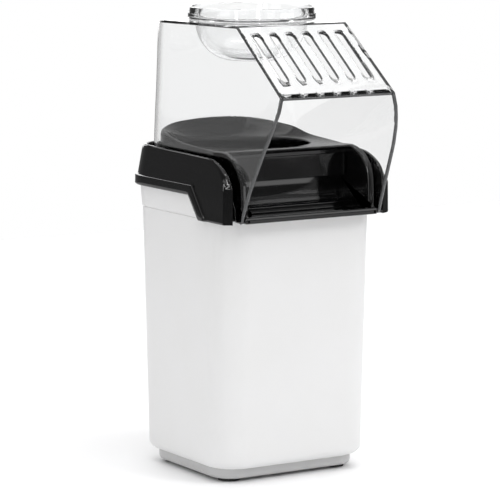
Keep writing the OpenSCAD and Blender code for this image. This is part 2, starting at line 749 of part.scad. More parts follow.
module motor_case() {
    color("silver") on_pot_axis() difference() {
        translate([0, 0, motor_bottom_z]) cylinder(h = motor_length, r = motor_d / 2, $fn = 96);
        translate([0, 0, motor_bottom_z - 1]) cylinder(h = motor_length, r = motor_d / 2 - 1, $fn = 96);
        translate([0, 0, motor_bottom_z]) cylinder(h = motor_length + 5, r = 3, $fn = 48);
        for (s = [-1, 1]) translate([s * 8, 0, motor_top_z - 3]) cylinder(h = 6, r = 1.3, $fn = 24);
        for (s = [-1, 1]) translate([0, s * motor_d / 2, motor_bottom_z + 12]) cube([10, 6, 2.4], center = true);
    }
}

module motor_magnets() {
    color("dimgray") on_pot_axis() difference() {
        tube(motor_bottom_z + 5, motor_top_z - 6, motor_d / 2 - 1.02, motor_d / 2 - 3.8);
        for (a = [0, 180]) rotate([0, 0, a]) translate([0, -3.5, 0]) cube([20, 7, 80]);
    }
}

module motor_armature() {
    color("peru") on_pot_axis() difference() {
        union() {
            translate([0, 0, motor_bottom_z + 7]) cylinder(h = motor_length - 15, r = motor_d / 2 - 4.4, $fn = 64);
            translate([0, 0, motor_bottom_z + 3.4]) cylinder(h = 4, r = 3, $fn = 48);
        }
        translate([0, 0, motor_bottom_z]) cylinder(h = 60, r = shaft_d / 2, $fn = 48);
        ring_of(3) translate([6.6, -1, motor_bottom_z + 6.9]) cube([6, 2, motor_length]);
    }
}

module duct_screws() {
    color("silver") on_axis() for (sx = [-1, 1], p = duct_posts) {
        translate([sx * p[0], p[1], fan_floor_z + 3.6]) rotate([180, 0, 0]) screw(10, 1.2, 2.5, 1.4);
    }
}

module motor_bushing() {
    color("goldenrod") on_pot_axis() tube(motor_top_z - 1, motor_top_z + 2.4, 3, shaft_d / 2 + 0.05);
}

module motor_end_cap() {
    color("darkslategray") on_pot_axis() difference() {
        union() {
            translate([0, 0, motor_bottom_z - 2]) cylinder(h = 2, r = motor_d / 2, $fn = 96);
            translate([0, 0, motor_bottom_z - 0.1]) cylinder(h = 3, r = motor_d / 2 - 1.05, $fn = 96);
            translate([0, 0, motor_bottom_z - 4]) cylinder(h = 2.2, r = 4.4, $fn = 48);
        }
        translate([0, 0, motor_bottom_z - 2.5]) cylinder(h = 10, r = shaft_d / 2 + 0.05, $fn = 48);
    }
    // brush terminals
    color("goldenrod") on_pot_axis() for (s = [-1, 1]) translate([s * 9 - 1.4, -0.3, motor_bottom_z - 5.4])
        cube([2.8, 0.6, 3.6]);
}

module motor_mount() {
    color("dimgray") on_pot_axis() difference() {
        union() {
            translate([0, 0, motor_top_z]) cylinder(h = 1.6, r = 19, $fn = 64);
            // three arms out to the blower's rim
            ring_of(3, 30) translate([12, -3.5, motor_top_z]) cube([shield_d / 2 - 14, 7, 1.6]);
            ring_of(3, 30) translate([shield_d / 2 - 6, 0, motor_top_z]) cylinder(h = fan_floor_z - motor_top_z, r = 3.5, $fn = 32);
        }
        translate([0, 0, motor_top_z - 1]) cylinder(h = 10, r = 3.2, $fn = 48);
        for (s = [-1, 1]) translate([s * 8, 0, motor_top_z - 1]) cylinder(h = 4, r = 1.5, $fn = 24);
        ring_of(3, 30) translate([shield_d / 2 - 6, 0, motor_top_z - 1]) cylinder(h = 8, r = 1.5, $fn = 24);
        ring_of(3, 90) translate([13, 0, motor_top_z - 1]) cylinder(h = 4, r = 2.6, $fn = 32);
    }
}

module motor_screws() {
    color("silver") on_pot_axis() {
        for (s = [-1, 1]) translate([s * 8, 0, motor_top_z + 3]) rotate([180, 0, 0]) screw(5.5, 1.25, 2.4, 1.3);
        ring_of(3, 30) translate([shield_d / 2 - 6, 0, motor_top_z - 1.4]) screw(7.6, 1.3, 2.6, 1.4);
    }
}

module rectifier_board() {
    color("darkgreen") on_pot_axis() difference() {
        translate([-15, -12, motor_bottom_z - 8]) cube([30, 24, 1.6]);
        for (s = [-1, 1]) translate([s * 9 - 1.6, -0.6, motor_bottom_z - 10]) cube([3.2, 1.2, 6]);
    }
}

module rectifier_diodes() {
    color("black") on_pot_axis() for (x = [-11.4, -4.4, 4.4, 11.4]) {
        translate([x, -2.6, motor_bottom_z - 9.4]) rotate([90, 0, 0]) cylinder(h = 5.2, r = 1.35, $fn = 32);
        translate([x, -1, motor_bottom_z - 9.4]) rotate([90, 0, 0]) cylinder(h = 8.6, r = 0.4, $fn = 16);
        for (y = [-1.2, -9.4]) translate([x, y, motor_bottom_z - 9.7]) cylinder(h = 1.7, r = 0.4, $fn = 16);
    }
}

module smoothing_capacitor() {
    color("navy") on_pot_axis() translate([0, 7.6, motor_bottom_z - 12.6]) difference() {
        cylinder(h = 4.6, r = 3.1, $fn = 48);
        translate([-2.4, -0.2, -eps]) cube([4.8, 0.4, 0.4]);
    }
}

// ---- Mains side ----

module switch_housing() {
    color("black") on_axis() on_rear_wall(switch_x, switch_z) difference() {
        union() {
            translate([-7.5, 0.05, -10.5]) cube([15, 1.7, 21]);
            translate([-6.5, -14, -9.5]) cube([13, 14.1, 19]);
        }
        translate([-5.1, -7, -7.6]) cube([10.2, 12, 15.2]);
        translate([0, -rocker_in, 0]) rotate([0, 90, 0]) cylinder(h = 12.2, r = pin_r + 0.05, center = true, $fn = 48);
    }
}

module switch_rocker() {
    // the rocker turns on a pin across the switch; it rests switched off
    color("black") on_axis() on_rear_wall(switch_x, switch_z) translate([0, -rocker_in, 0]) rotate([rocker_tilt, 0, 0])
        difference() {
        union() {
            rotate([0, 90, 0]) cylinder(h = 9.6, r = 7, center = true, $fn = 96);
            rotate([0, 90, 0]) cylinder(h = 11.8, r = pin_r, center = true, $fn = 48);
        }
        translate([0, -12.2, 0]) cube([20, 20, 20], center = true);
        // shallow dish in the face
        translate([0, 24.6, 0]) rotate([0, 90, 0]) cylinder(h = 20, r = 20.4, center = true, $fn = 96);
    }
}

module switch_terminals() {
    color("goldenrod") on_axis() on_rear_wall(switch_x, switch_z) for (z = [-6, 6]) {
        translate([-2.4, -21, z - 0.4]) cube([4.8, 7, 0.8]);
    }
}

module cord_gland() {
    color("dimgray") on_axis() on_rear_wall(-switch_x, gland_z) rotate([90, 0, 0]) difference() {
        union() {
            translate([0, 0, -3.6]) cylinder(h = 3.5, r = 9, $fn = 64);
            translate([0, 0, -0.2]) cylinder(h = 2.8, r = 7.1, $fn = 64);
            translate([0, 0, 2.5]) cylinder(h = 2, r = 8.4, $fn = 64);
        }
        translate([0, 0, -6]) cylinder(h = 14, r = lead_d / 2, $fn = 64);
    }
}

module cord_clamp() {
    clamp_z = gland_z - 2;
    color("whitesmoke") on_axis() translate([-switch_x, 26, 0]) difference() {
        translate([-10, -4, foot_show + 2.4]) cube([20, 8, clamp_z - foot_show]);
        translate([0, 0, clamp_z]) rotate([90, 0, 0]) cylinder(h = 20, r = lead_d / 2, center = true, $fn = 48);
        translate([-lead_d / 2, -5, clamp_z]) cube([lead_d, 10, 5]);
        for (s = [-1, 1]) translate([s * 7, 0, 8]) cylinder(h = 30, r = 1.3, $fn = 24);
        // room for the boss over the foot beside it
        translate([switch_x - foot_x, foot_y - 26, 0]) cylinder(h = foot_show + 5.3, r = 7.9, $fn = 48);
    }
}

module clamp_screws() {
    color("silver") on_axis() for (s = [-1, 1]) translate([-switch_x + s * 7, 26, gland_z + 1.8]) rotate([180, 0, 0])
        screw(12, 1.25, 2.4, 1.3);
}

module terminal_block() {
    color("ivory") on_axis() translate([-33, -4, 30]) difference() {
        cube([12, 24, 10], center = true);
        for (y = [-8, 0, 8]) {
            translate([0, y, 0]) rotate([0, 90, 0]) cylinder(h = 20, r = 1.9, center = true, $fn = 32);
            translate([0, y, 2]) cylinder(h = 10, r = 1.7, $fn = 32);
        }
    }
}

// A wire made of straight runs with round elbows
module wire(points, r) {
    for (i = [0 : len(points) - 2]) hull() {
        translate(points[i]) sphere(r = r, $fn = 12);
        translate(points[i + 1]) sphere(r = r, $fn = 12);
    }
}

module inner_leads() {
    color("firebrick") on_axis() {
        wire([[switch_x, 26, 38.6], [switch_x, 20, 38.6], [switch_x + 2, -24, 30], [-10, -34, 30], [-38.8, -20, 30],
            [-38.8, -4, 30], [-36, -4, 30]], 1.1);
        wire([[switch_x, 26, 50.6], [switch_x, 22, 50.6], [36, 22, 56], [38.6, 27, 60], [38.6, 27, 67],
            [38.4, 36.6, 116], [37.6, 36.6, 128]], 1.1);
    }
}

body_housing();
base_plate();
feet();
base_screws();
collar();
collar_screws();
chute();
hood();
measuring_cup();
popping_chamber();
chamber_gasket();
heat_shield();
shield_screws();
mica_cards();
heating_coil();
thermostat();
thermal_fuse();
fan_housing();
impeller();
motor_shaft();
motor_case();
motor_bushing();
motor_end_cap();
motor_mount();
motor_magnets();
motor_armature();
motor_screws();
duct_screws();
rectifier_board();
rectifier_diodes();
smoothing_capacitor();
switch_housing();
switch_rocker();
switch_terminals();
cord_gland();
cord_clamp();
clamp_screws();
terminal_block();
inner_leads();
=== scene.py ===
import json
import math
import bmesh
import bpy
import numpy as np
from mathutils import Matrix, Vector


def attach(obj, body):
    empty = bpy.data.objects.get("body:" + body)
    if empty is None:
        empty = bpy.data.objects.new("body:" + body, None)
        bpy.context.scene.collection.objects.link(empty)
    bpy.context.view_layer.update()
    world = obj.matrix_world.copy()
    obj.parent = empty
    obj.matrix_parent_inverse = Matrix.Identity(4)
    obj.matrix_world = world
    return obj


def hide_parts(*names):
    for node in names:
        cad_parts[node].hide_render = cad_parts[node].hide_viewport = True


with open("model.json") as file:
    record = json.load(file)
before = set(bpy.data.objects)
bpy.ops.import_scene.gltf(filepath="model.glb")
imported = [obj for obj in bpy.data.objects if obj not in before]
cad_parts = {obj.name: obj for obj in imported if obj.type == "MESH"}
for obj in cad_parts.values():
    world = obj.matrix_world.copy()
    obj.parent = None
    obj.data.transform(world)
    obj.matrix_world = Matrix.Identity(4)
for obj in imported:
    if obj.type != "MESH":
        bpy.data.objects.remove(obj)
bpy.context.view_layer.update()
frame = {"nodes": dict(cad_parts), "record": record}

axisY = 15.25  # the housing's upright axis stands this far behind the origin, in mm
record = frame["record"]
nodeSlot = {part["node"]: part["material_slot"] for part in record["subparts"]}


# Four-cornered faces of a grid of rows by columns, either way may run round and close on itself
def gridFaces(rows, cols, closeRows=False, closeCols=False):
    r = np.arange(rows if closeRows else rows - 1)[:, None]
    c = np.arange(cols if closeCols else cols - 1)[None, :]
    nextR, nextC = (r + 1) % rows, (c + 1) % cols
    corners = [r * cols + c, r * cols + nextC, nextR * cols + nextC, nextR * cols + c]
    return np.stack(corners, -1).reshape(-1, 4)


# Stacks several (points, faces) patches into one list of points and one of faces
def joinPatches(patches):
    points, faces, start = [], [], 0
    for xyz, quads in patches:
        points.append(np.asarray(xyz, float).reshape(-1, 3))
        faces += [[int(i) + start for i in face] for face in quads]
        start += len(points[-1])
    return np.vstack(points), faces


# Makes the finished object: points come in mm about the housing's axis and go to metres in the
# part's frame
def makePiece(name, patches, body, nodes, materials, sharpAngle=32, merge=0.02):
    points, faces = joinPatches(patches)
    mesh = bpy.data.meshes.new(name)
    mesh.from_pydata(((points + [0, axisY, 0]) / 1000).tolist(), [], faces)
    piece = bpy.data.objects.new(name, mesh)
    bpy.context.scene.collection.objects.link(piece)
    work = bmesh.new()
    work.from_mesh(mesh)
    bmesh.ops.remove_doubles(work, verts=work.verts, dist=merge / 1000)
    bmesh.ops.dissolve_degenerate(work, edges=work.edges, dist=merge / 2000)
    bmesh.ops.recalc_face_normals(work, faces=work.faces)
    work.to_mesh(mesh)
    work.free()
    mesh.polygons.foreach_set("use_smooth", np.ones(len(mesh.polygons), bool))
    mesh.set_sharp_from_angle(angle=math.radians(sharpAngle))
    for material in materials:
        mesh.materials.append(material)
    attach(piece, body)
    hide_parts(*nodes)
    print("made", name, len(mesh.polygons), "faces")
    return piece


# Plan outline of a rounded box, round at the back corners: where along it (path) gives the place, and
# the half width, depth to the back and corner radius may differ from point to point.
# Sides run straight in y from the front, corners are quarter circles, and the back is straight in x.
def planPoint(path, half, back, radius):
    kind, value, side = path["kind"], path["value"], path["side"]
    angle = np.radians(value)
    sideX, sideY = half, value
    turnX, turnY = half - radius + radius * np.cos(angle), back - radius + radius * np.sin(angle)
    backX, backY = (half - radius) * value, back
    x = np.where(kind == 0, sideX, np.where(kind == 1, turnX, backX))
    y = np.where(kind == 0, np.minimum(sideY, back - radius), np.where(kind == 1, turnY, backY))
    return side * x, y


# The path from the front of the left side, round the back, to the front of the right side
def openPath(sideY, cornerSteps=14, backSteps=6):
    turn = np.linspace(0, 90, cornerSteps)
    flat = np.linspace(1, 0, backSteps + 1)[1:]
    half = [(0, y, 1) for y in sideY] + [(1, a, 1) for a in turn] + [(2, v, 1) for v in flat]
    left = [(k, v, -1) for k, v, _ in half]
    right = [(k, v, 1) for k, v, _ in half[:-1]][::-1]
    rows = np.array(left + right, float)
    return {"kind": rows[:, 0], "value": rows[:, 1], "side": rows[:, 2]}


# An output socket that can be added, multiplied and so on, each of which makes a maths node
class Wire:
    def __init__(self, shade, socket):
        self.shade, self.socket = shade, socket

    def combine(self, operation, left, right):
        return self.shade.node("ShaderNodeMath", {"operation": operation}, {0: left, 1: right})

    def __add__(self, other):
        return self.combine("ADD", self, other)

    def __mul__(self, other):
        return self.combine("MULTIPLY", self, other)

    def __pow__(self, other):
        return self.combine("POWER", self, other)

    def __gt__(self, other):
        return self.combine("GREATER_THAN", self, other)


# A material and its Principled node; constants are set on that node's sockets by name
class Shade:
    def __init__(self, name, constants):
        self.material = bpy.data.materials.new(name)
        self.material.use_nodes = True
        self.tree = self.material.node_tree
        self.surface = self.tree.nodes["Principled BSDF"]
        self.place = self.node("ShaderNodeTexCoord", {}, {}, "Object")
        for socket, value in constants.items():
            self.surface.inputs[socket].default_value = value

    # Any node: its settings first, then the value or the link of each socket, and the output wanted
    def node(self, kind, settings, sockets, output=0):
        made = self.tree.nodes.new(kind)
        for key, value in settings.items():
            setattr(made, key, value)
        for key, value in sockets.items():
            if isinstance(value, Wire):
                self.tree.links.new(value.socket, made.inputs[key])
            else:
                made.inputs[key].default_value = value
        return Wire(self, made.outputs[output])

    def feed(self, wires):
        for socket, wire in wires.items():
            self.tree.links.new(wire.socket, self.surface.inputs[socket])

    # Noise on object coordinates, its size in mm and its stretch along each axis
    def noise(self, size, stretch=(1, 1, 1), detail=3.0, rough=0.5):
        scale = tuple(s * 1000 / size for s in stretch)
        placed = self.node("ShaderNodeMapping", {}, {"Vector": self.place, "Scale": scale})
        sockets = {"Vector": placed, "Scale": 1.0, "Detail": detail, "Roughness": rough}
        return self.node("ShaderNodeTexNoise", {}, sockets, "Fac")

    # Sockets 0, 6 and 7 of a colour mix are its factor and its two colours, and output 2 its result
    def blend(self, factor, first, second):
        return self.node("ShaderNodeMix", {"data_type": "RGBA"}, {0: factor, 6: first, 7: second}, 2)

    # Relief of a given depth in mm, on top of the relief that is already there
    def relief(self, height, depth, under=None):
        sockets = {"Height": height, "Distance": depth / 1000, "Strength": 1.0}
        if under:
            sockets["Normal"] = under
        return self.node("ShaderNodeBump", {}, sockets, "Normal")


# A colour made darker or lighter by a factor, with alpha 1
def toned(colour, factor):
    return tuple(min(1, v * factor) for v in colour[:3]) + (1,)


view = {"azimuth": -31.79, "elevation": 8.20, "distance": 1.58135, "lens": 201.6, "sensor": 36,
        "clip": (0.05, 20), "target": (-0.002066, 0.016531, 0.122455)}
print("camera")
azimuth, elevation = math.radians(view["azimuth"]), math.radians(view["elevation"])
back = Vector((math.sin(azimuth) * math.cos(elevation),
               -math.cos(azimuth) * math.cos(elevation),
               math.sin(elevation)))
lensData = bpy.data.cameras.new("camera")
lensData.lens, lensData.sensor_width = view["lens"], view["sensor"]
lensData.clip_start, lensData.clip_end = view["clip"]
camera = bpy.data.objects.new("camera", lensData)
camera.location = Vector(view["target"]) + back * view["distance"]
camera.rotation_mode = "QUATERNION"
camera.rotation_quaternion = (-back).to_track_quat("-Z", "Y")
bpy.context.scene.collection.objects.link(camera)
bpy.context.scene.camera = camera


# Satin white moulding: fine spark texture, a faint uneven gloss and slightly warmer patches
satinWhite = {"colour": (0.80, 0.80, 0.805, 1), "warm": (0.77, 0.768, 0.762, 1), "rough": 0.36,
              "grain": 0.55, "depth": 0.012, "specular": 0.45}


# dim darkens the whole moulding; only the plinth uses it, as painted shade
def whiteMoulding(name, dim=1.0):
    w = satinWhite
    shade = Shade(name, {"Roughness": w["rough"], "Specular IOR Level": w["specular"]})
    cloud = shade.noise(38, detail=2)
    grain = shade.noise(w["grain"], detail=2, rough=0.6)
    shade.feed({
        "Base Color": shade.blend(cloud, toned(w["colour"], dim), toned(w["warm"], dim)),
        "Roughness": cloud * 0.10 + grain * 0.05 + (w["rough"] - 0.07),
        "Normal": shade.relief(grain, w["depth"], shade.relief(shade.noise(9, detail=1), 0.02)),
    })
    return shade.material


# High-gloss black moulding: near mirror, a little flow waviness, hair-fine scuffs and a trace of dust
glossBlack = {"colour": (0.0028, 0.0028, 0.003, 1), "dust": (0.008, 0.008, 0.0085, 1), "rough": 0.06,
              "chuteRough": 0.10, "wave": 0.02, "specular": 0.40}


def blackMoulding(name, rough):
    shade = Shade(name, {"Roughness": rough, "Specular IOR Level": glossBlack["specular"]})
    wave = shade.noise(14, detail=1)
    scuff = shade.noise(1.1, stretch=(0.12, 1, 1), detail=4, rough=0.7)
    marks = (scuff > 0.66) * 0.10
    shade.feed({
        "Base Color": shade.blend(scuff ** 3.0, glossBlack["colour"], glossBlack["dust"]),
        "Roughness": marks + wave * 0.05 + (rough - 0.02),
        "Normal": shade.relief(wave, glossBlack["wave"]),
    })
    return shade.material


# Clear polished moulding: thin, very smooth, with slight flow lines; its cut edges are darker: painted shade
clearCover = {"tint": (0.994, 0.997, 0.998, 1), "edge": (0.11, 0.112, 0.115, 1), "rough": 0.02,
              "edgeRough": 0.12, "index": 1.49, "edgeThrough": 0.35, "slotThrough": 0.85}


def clearMoulding(name, tone, rough, through):
    shade = Shade(name, {"IOR": clearCover["index"], "Transmission Weight": through})
    flow = shade.noise(60, stretch=(1, 1, 0.4), detail=1)
    fine = shade.noise(3, detail=2)
    shade.feed({
        "Base Color": shade.blend(fine, tone, toned(tone, 0.985)),
        "Roughness": flow * 0.02 + rough,
        "Normal": shade.relief(flow, 0.02),
    })
    return shade.material


# Small parts: colour, metal or not, roughness, and a grain with its size, stretch and depth in mm
partFinish = {
    "foot_rubber": {"colour": (0.018, 0.018, 0.018), "rough": 0.72, "grain": 0.5, "depth": 0.05},
    "screw_steel": {"colour": (0.60, 0.60, 0.61), "metal": 1, "rough": 0.28,
        "grain": 0.4, "stretch": (1, 1, 6), "depth": 0.006},
    "pot_aluminium": {"colour": (0.74, 0.75, 0.77), "metal": 1, "rough": 0.27,
        "grain": 0.7, "stretch": (0.06, 0.06, 2), "depth": 0.01},
    "shield_steel": {"colour": (0.58, 0.58, 0.58), "metal": 1, "rough": 0.32,
        "grain": 0.6, "stretch": (0.08, 0.08, 2), "depth": 0.01},
    "silicone": {"colour": (0.66, 0.63, 0.59), "rough": 0.6, "grain": 0.8, "depth": 0.02},
    "mica": {"colour": (0.52, 0.41, 0.25), "rough": 0.42,
        "grain": 2.4, "stretch": (1, 1, 3), "depth": 0.03},
    "coil_wire": {"colour": (0.24, 0.21, 0.20), "metal": 1, "rough": 0.5, "grain": 0.3, "depth": 0.01},
    "thermostat_body": {"colour": (0.66, 0.67, 0.68), "metal": 1, "rough": 0.3,
        "grain": 0.5, "depth": 0.01},
    "fuse_body": {"colour": (0.70, 0.60, 0.42), "rough": 0.5, "grain": 0.5, "depth": 0.01},
    "duct_nylon": {"colour": (0.055, 0.055, 0.06), "rough": 0.5, "grain": 0.4, "depth": 0.02},
    "fan_nylon": {"colour": (0.74, 0.71, 0.63), "rough": 0.48, "grain": 0.5, "depth": 0.015},
    "motor_steel": {"colour": (0.62, 0.62, 0.63), "metal": 1, "rough": 0.26,
        "grain": 0.5, "stretch": (0.1, 0.1, 2), "depth": 0.01},
    "shaft_steel": {"colour": (0.70, 0.70, 0.71), "metal": 1, "rough": 0.18,
        "grain": 0.3, "stretch": (0.1, 0.1, 3), "depth": 0.004},
    "bronze": {"colour": (0.55, 0.36, 0.17), "metal": 1, "rough": 0.45, "grain": 0.25, "depth": 0.02},
    "motor_plastic": {"colour": (0.03, 0.03, 0.035), "rough": 0.5, "grain": 0.4, "depth": 0.02},
    "ferrite": {"colour": (0.07, 0.07, 0.07), "rough": 0.65, "grain": 0.3, "depth": 0.03},
    "winding": {"colour": (0.55, 0.26, 0.11), "metal": 1, "rough": 0.3,
        "grain": 0.35, "stretch": (1, 1, 0.1), "depth": 0.15},
    "board": {"colour": (0.38, 0.26, 0.09), "rough": 0.55,
        "grain": 0.5, "stretch": (3, 1, 1), "depth": 0.02},
    "diode_body": {"colour": (0.02, 0.02, 0.02), "rough": 0.4, "grain": 0.3, "depth": 0.01},
    "capacitor_body": {"colour": (0.03, 0.045, 0.17), "rough": 0.3, "grain": 0.8, "depth": 0.01},
    "switch_black": {"colour": (0.012, 0.012, 0.012), "rough": 0.3, "grain": 0.35, "depth": 0.012},
    "terminal_brass": {"colour": (0.70, 0.54, 0.27), "metal": 1, "rough": 0.3,
        "grain": 0.4, "stretch": (1, 4, 1), "depth": 0.008},
    "clamp_white": {"colour": (0.78, 0.78, 0.76), "rough": 0.5, "grain": 0.5, "depth": 0.015},
    "lead_sleeve": {"colour": (0.36, 0.04, 0.035), "rough": 0.48, "grain": 0.6, "depth": 0.02},
}


def partMaterial(name, facts):
    shade = Shade(name, {"Metallic": float(facts.get("metal", 0)), "Roughness": facts["rough"]})
    grain = shade.noise(facts["grain"], facts.get("stretch", (1, 1, 1)), detail=3)
    cloud = shade.noise(12, detail=2)
    shade.feed({
        "Base Color": shade.blend(cloud, toned(facts["colour"], 0.88), toned(facts["colour"], 1.10)),
        "Roughness": grain * 0.12 + cloud * 0.08 + (facts["rough"] - 0.10),
        "Normal": shade.relief(grain, facts["depth"]),
    })
    return shade.material


print("finishes")
housingWhite = whiteMoulding("housingWhite")
collarBlack = blackMoulding("collarBlack", glossBlack["rough"])
chuteBlack = blackMoulding("chuteBlack", glossBlack["chuteRough"])
coverClear = clearMoulding("coverClear", clearCover["tint"], clearCover["rough"], 1.0)
coverEdgeShade = clearMoulding("coverEdgeShade", clearCover["edge"], clearCover["edgeRough"], clearCover["edgeThrough"])
slotEdgeShade = clearMoulding("slotEdgeShade", clearCover["edge"], clearCover["edgeRough"], clearCover["slotThrough"])
finishes = {name: partMaterial(name, facts) for name, facts in partFinish.items()}
finishes["housing_white"] = housingWhite
# the plinth is the housing's white darkened to 0.66: painted shade for its inset under the housing
plinthPaintedShade = whiteMoulding("plinthPaintedShade", 0.66)


housing = {"wall": 2.2, "footTop": 7.8, "footRound": 4.6, "foot": (49.5, 45.4), "shoulder": (50.5, 51.2),
           "shoulderZ": 147.3, "rimZ": 164.0, "rimGrow": 1.5, "ledge": 0.5, "cornerLow": 16, "cornerHigh": 18,
           "groove": 0.35, "rimSlim": 0.4, "rimCorner": 0.7, "frontZ": 147.4, "stepZ": 152.0,
           "frontY": -32.7, "stepY": -29.9,
           "switchHole": (20, 44, 6.7, 9.8), "glandHole": (-20, 24, 5.9, 5.9)}


# Housing: a rounded box whose half width and half depth grow straight from foot to shoulder, closed
# below by a quarter round, with a small ledge and a flared rim that is cut down at the front.
def housingShell():
    h = housing
    corner = np.linspace(0, 90, 15)
    backX = np.array([34, 26.7, 23, 20, 17, 13.3, 5, -5, -14.1, -17, -20, -23, -25.9, -34]) / 34
    # one full turn: right side, back right corner, back, back left corner, left side, front
    kinds = [(0, y, 1, 1) for y in (-32.4, -30, -26, -19, -5, 8, 20, 29)]
    kinds += [(1, a, 1, 1) for a in corner] + [(2, v, 1, 1) for v in backX[1:-1]]
    kinds += [(1, a, -1, 1) for a in corner[::-1]]
    kinds += [(0, y, -1, 1) for y in (29, 20, 8, -5, -19, -26, -30, -32.4)]
    kinds += [(1, a, -1, -1) for a in corner] + [(2, v, 1, -1) for v in np.linspace(-1, 1, 9)[1:-1]]
    kinds += [(1, a, 1, -1) for a in corner[::-1]]
    kind, value, sx, sy = np.array(kinds, float).T
    arcs = np.radians(np.linspace(0, 90, 7))
    lowZ = h["footTop"] + h["footRound"] * (1 - np.cos(arcs))
    lowIn = h["footRound"] * (1 - np.sin(arcs))
    # rows stand at the edges of the two holes in the back, and close together at the groove
    straight = np.array([18.1, 21, 24, 27, 29.9, 34.2, 44, 53.8, 70, 95, 120, 140, 146.45, 146.6, 147.0,
                         h["shoulderZ"]])
    z = np.r_[lowZ, straight]
    grow = np.clip((z - h["footTop"]) / (h["shoulderZ"] - h["footTop"]), 0, 1)
    inset = np.r_[lowIn, np.zeros(len(straight))]
    inset[-3:-1] = h["groove"]
    halfW = h["foot"][0] + (h["shoulder"][0] - h["foot"][0]) * grow - inset
    halfD = h["foot"][1] + (h["shoulder"][1] - h["foot"][1]) * grow - inset
    radius = h["cornerLow"] + (h["cornerHigh"] - h["cornerLow"]) * grow
    rimSteps = np.array([0.0, 0.04, 0.35, 0.7, 0.97, 1.0])
    outZ = np.r_[z, h["shoulderZ"] + 0.05 + rimSteps * (h["rimZ"] - h["shoulderZ"])]
    proud = h["ledge"] + (h["rimGrow"] - h["ledge"]) * rimSteps
    proud[-1] -= h["rimSlim"]
    outW = np.r_[halfW, h["shoulder"][0] + proud]
    outD = np.r_[halfD, h["shoulder"][1] + proud]
    outR = np.r_[radius, np.full(len(rimSteps), h["cornerHigh"] + h["rimCorner"])]
    inner = slice(None, None, -1)
    profZ = np.r_[outZ, outZ[inner]]
    profZ[len(outZ):] = np.maximum(profZ[len(outZ):], h["footTop"] + h["wall"])
    profZ[-1] = h["footTop"]
    wall = np.r_[np.zeros(len(outZ)), np.full(len(outZ), h["wall"])]
    profW = np.r_[outW, outW[inner]] - wall
    profD = np.r_[outD, outD[inner]] - wall
    profR = np.r_[outR, outR[inner]] - wall
    n, m = len(kind), len(profZ)
    wide, deep, bend, height = (np.broadcast_to(a, (n, m)) for a in (profW, profD, profR, profZ))
    k, v, gx, gy = kind[:, None], value[:, None], sx[:, None], sy[:, None]
    angle = np.radians(v)
    turnX, turnY = wide - bend + bend * np.cos(angle), gy * (deep - bend + bend * np.sin(angle))
    x = gx * np.where(k == 0, wide, np.where(k == 1, turnX, (wide - bend) * v))
    sideY = np.clip(v * np.ones_like(wide), bend - deep, deep - bend)
    y = np.where(k == 0, sideY, np.where(k == 1, turnY, gy * deep))
    # the rim's top follows the cut at the front: low, then a step, then a slope of 14 in 11
    slope = np.clip(h["stepZ"] + (y + 30) * 14 / 11, h["stepZ"], h["rimZ"])
    topAt = np.where(y < h["frontY"], h["frontZ"], np.where(y < h["stepY"], h["stepZ"], slope))
    over = np.clip((height - h["shoulderZ"]) / (h["rimZ"] - h["shoulderZ"]), 0, 1)
    z = np.where(height > h["shoulderZ"], h["shoulderZ"] + over * (topAt - h["shoulderZ"]), height)
    points = np.stack([x, y, z], -1)
    faces = gridFaces(n, m, closeRows=True, closeCols=True)
    centre = points.reshape(-1, 3)[faces].mean(1)

    def inHole(middleX, middleZ, halfX, halfZ):
        near = (abs(centre[:, 0] - middleX) < halfX) & (abs(centre[:, 2] - middleZ) < halfZ)
        return near & (centre[:, 1] > 43)

    cut = inHole(*h["switchHole"]) | inHole(*h["glandHole"])
    # the holes' own walls: each open edge of the outer face joins the same edge of the inner face
    count = {}
    for face in faces[cut].tolist():
        for a, b in zip(face, face[1:] + face[:1]):
            count[(a, b)] = count.get((a, b), 0) + 1
    rim = [(a, b) for a, b in count if (b, a) not in count and a % m < m // 2]

    def twin(i):
        return (i // m) * m + (m - 1 - i % m)

    walls = [[a, b, twin(b), twin(a)] for a, b in rim]
    return [(points, faces[~cut].tolist() + walls)]


makePiece("housingShell", housingShell(), "housing", ["body_housing"], [housingWhite], 28)


collar = {"skirtZ": 146.4, "lipZ": 159.3, "band": 5.8, "lip": (55.0, 55.0), "lipRound": 0.9, "topZ": 182.0,
          "inner": (48.9, 48.9, 17.0), "shelf": (42.0, 42.2, 13.0), "skirt": (52.4, 53.1, 20.0),
          "faceZ": (146.4, 163.3, 183), "faceHalf": (53.9, 53.7, 50.6), "faceBack": (54.1, 53.6, 50.6),
          "faceR": (21.0, 20.0, 18.0), "edgeRound": 1.2, "ribRound": 0.7, "ribWide": 0.9, "rearFrom": -22.3,
          "wingFront": -54.4, "wingTop": -31.0, "wingFrontZ": 163.5, "rib": 1.1}


def collarLow(y, shift):
    c = collar
    startY, endY = -19 - 0.55 * shift, -29.5 - 1.25 * shift
    return np.interp(y, [endY, startY], [c["skirtZ"], c["lipZ"] + shift])


def collarHigh(y):
    c = collar
    flat = np.interp(y, [c["wingTop"], 70], [c["topZ"] - 1.2, c["topZ"] + 0.8])
    reach = np.clip((c["wingTop"] - y) / (c["wingTop"] - c["wingFront"]), 0, 0.9945)
    turn = c["wingFrontZ"] + (c["topZ"] - 1.2 - c["wingFrontZ"]) * np.sqrt(1 - reach ** 2)
    return np.where(y > c["wingTop"], flat, turn)


def ribHigh(y):
    c = collar
    reach = np.clip((c["wingTop"] - y) / 25.8, 0, 0.9945)
    turn = 150 + (c["topZ"] - 152.4) * np.sqrt(1 - reach ** 2)
    return np.where(y > c["wingTop"], collarHigh(y), np.maximum(turn, 150))


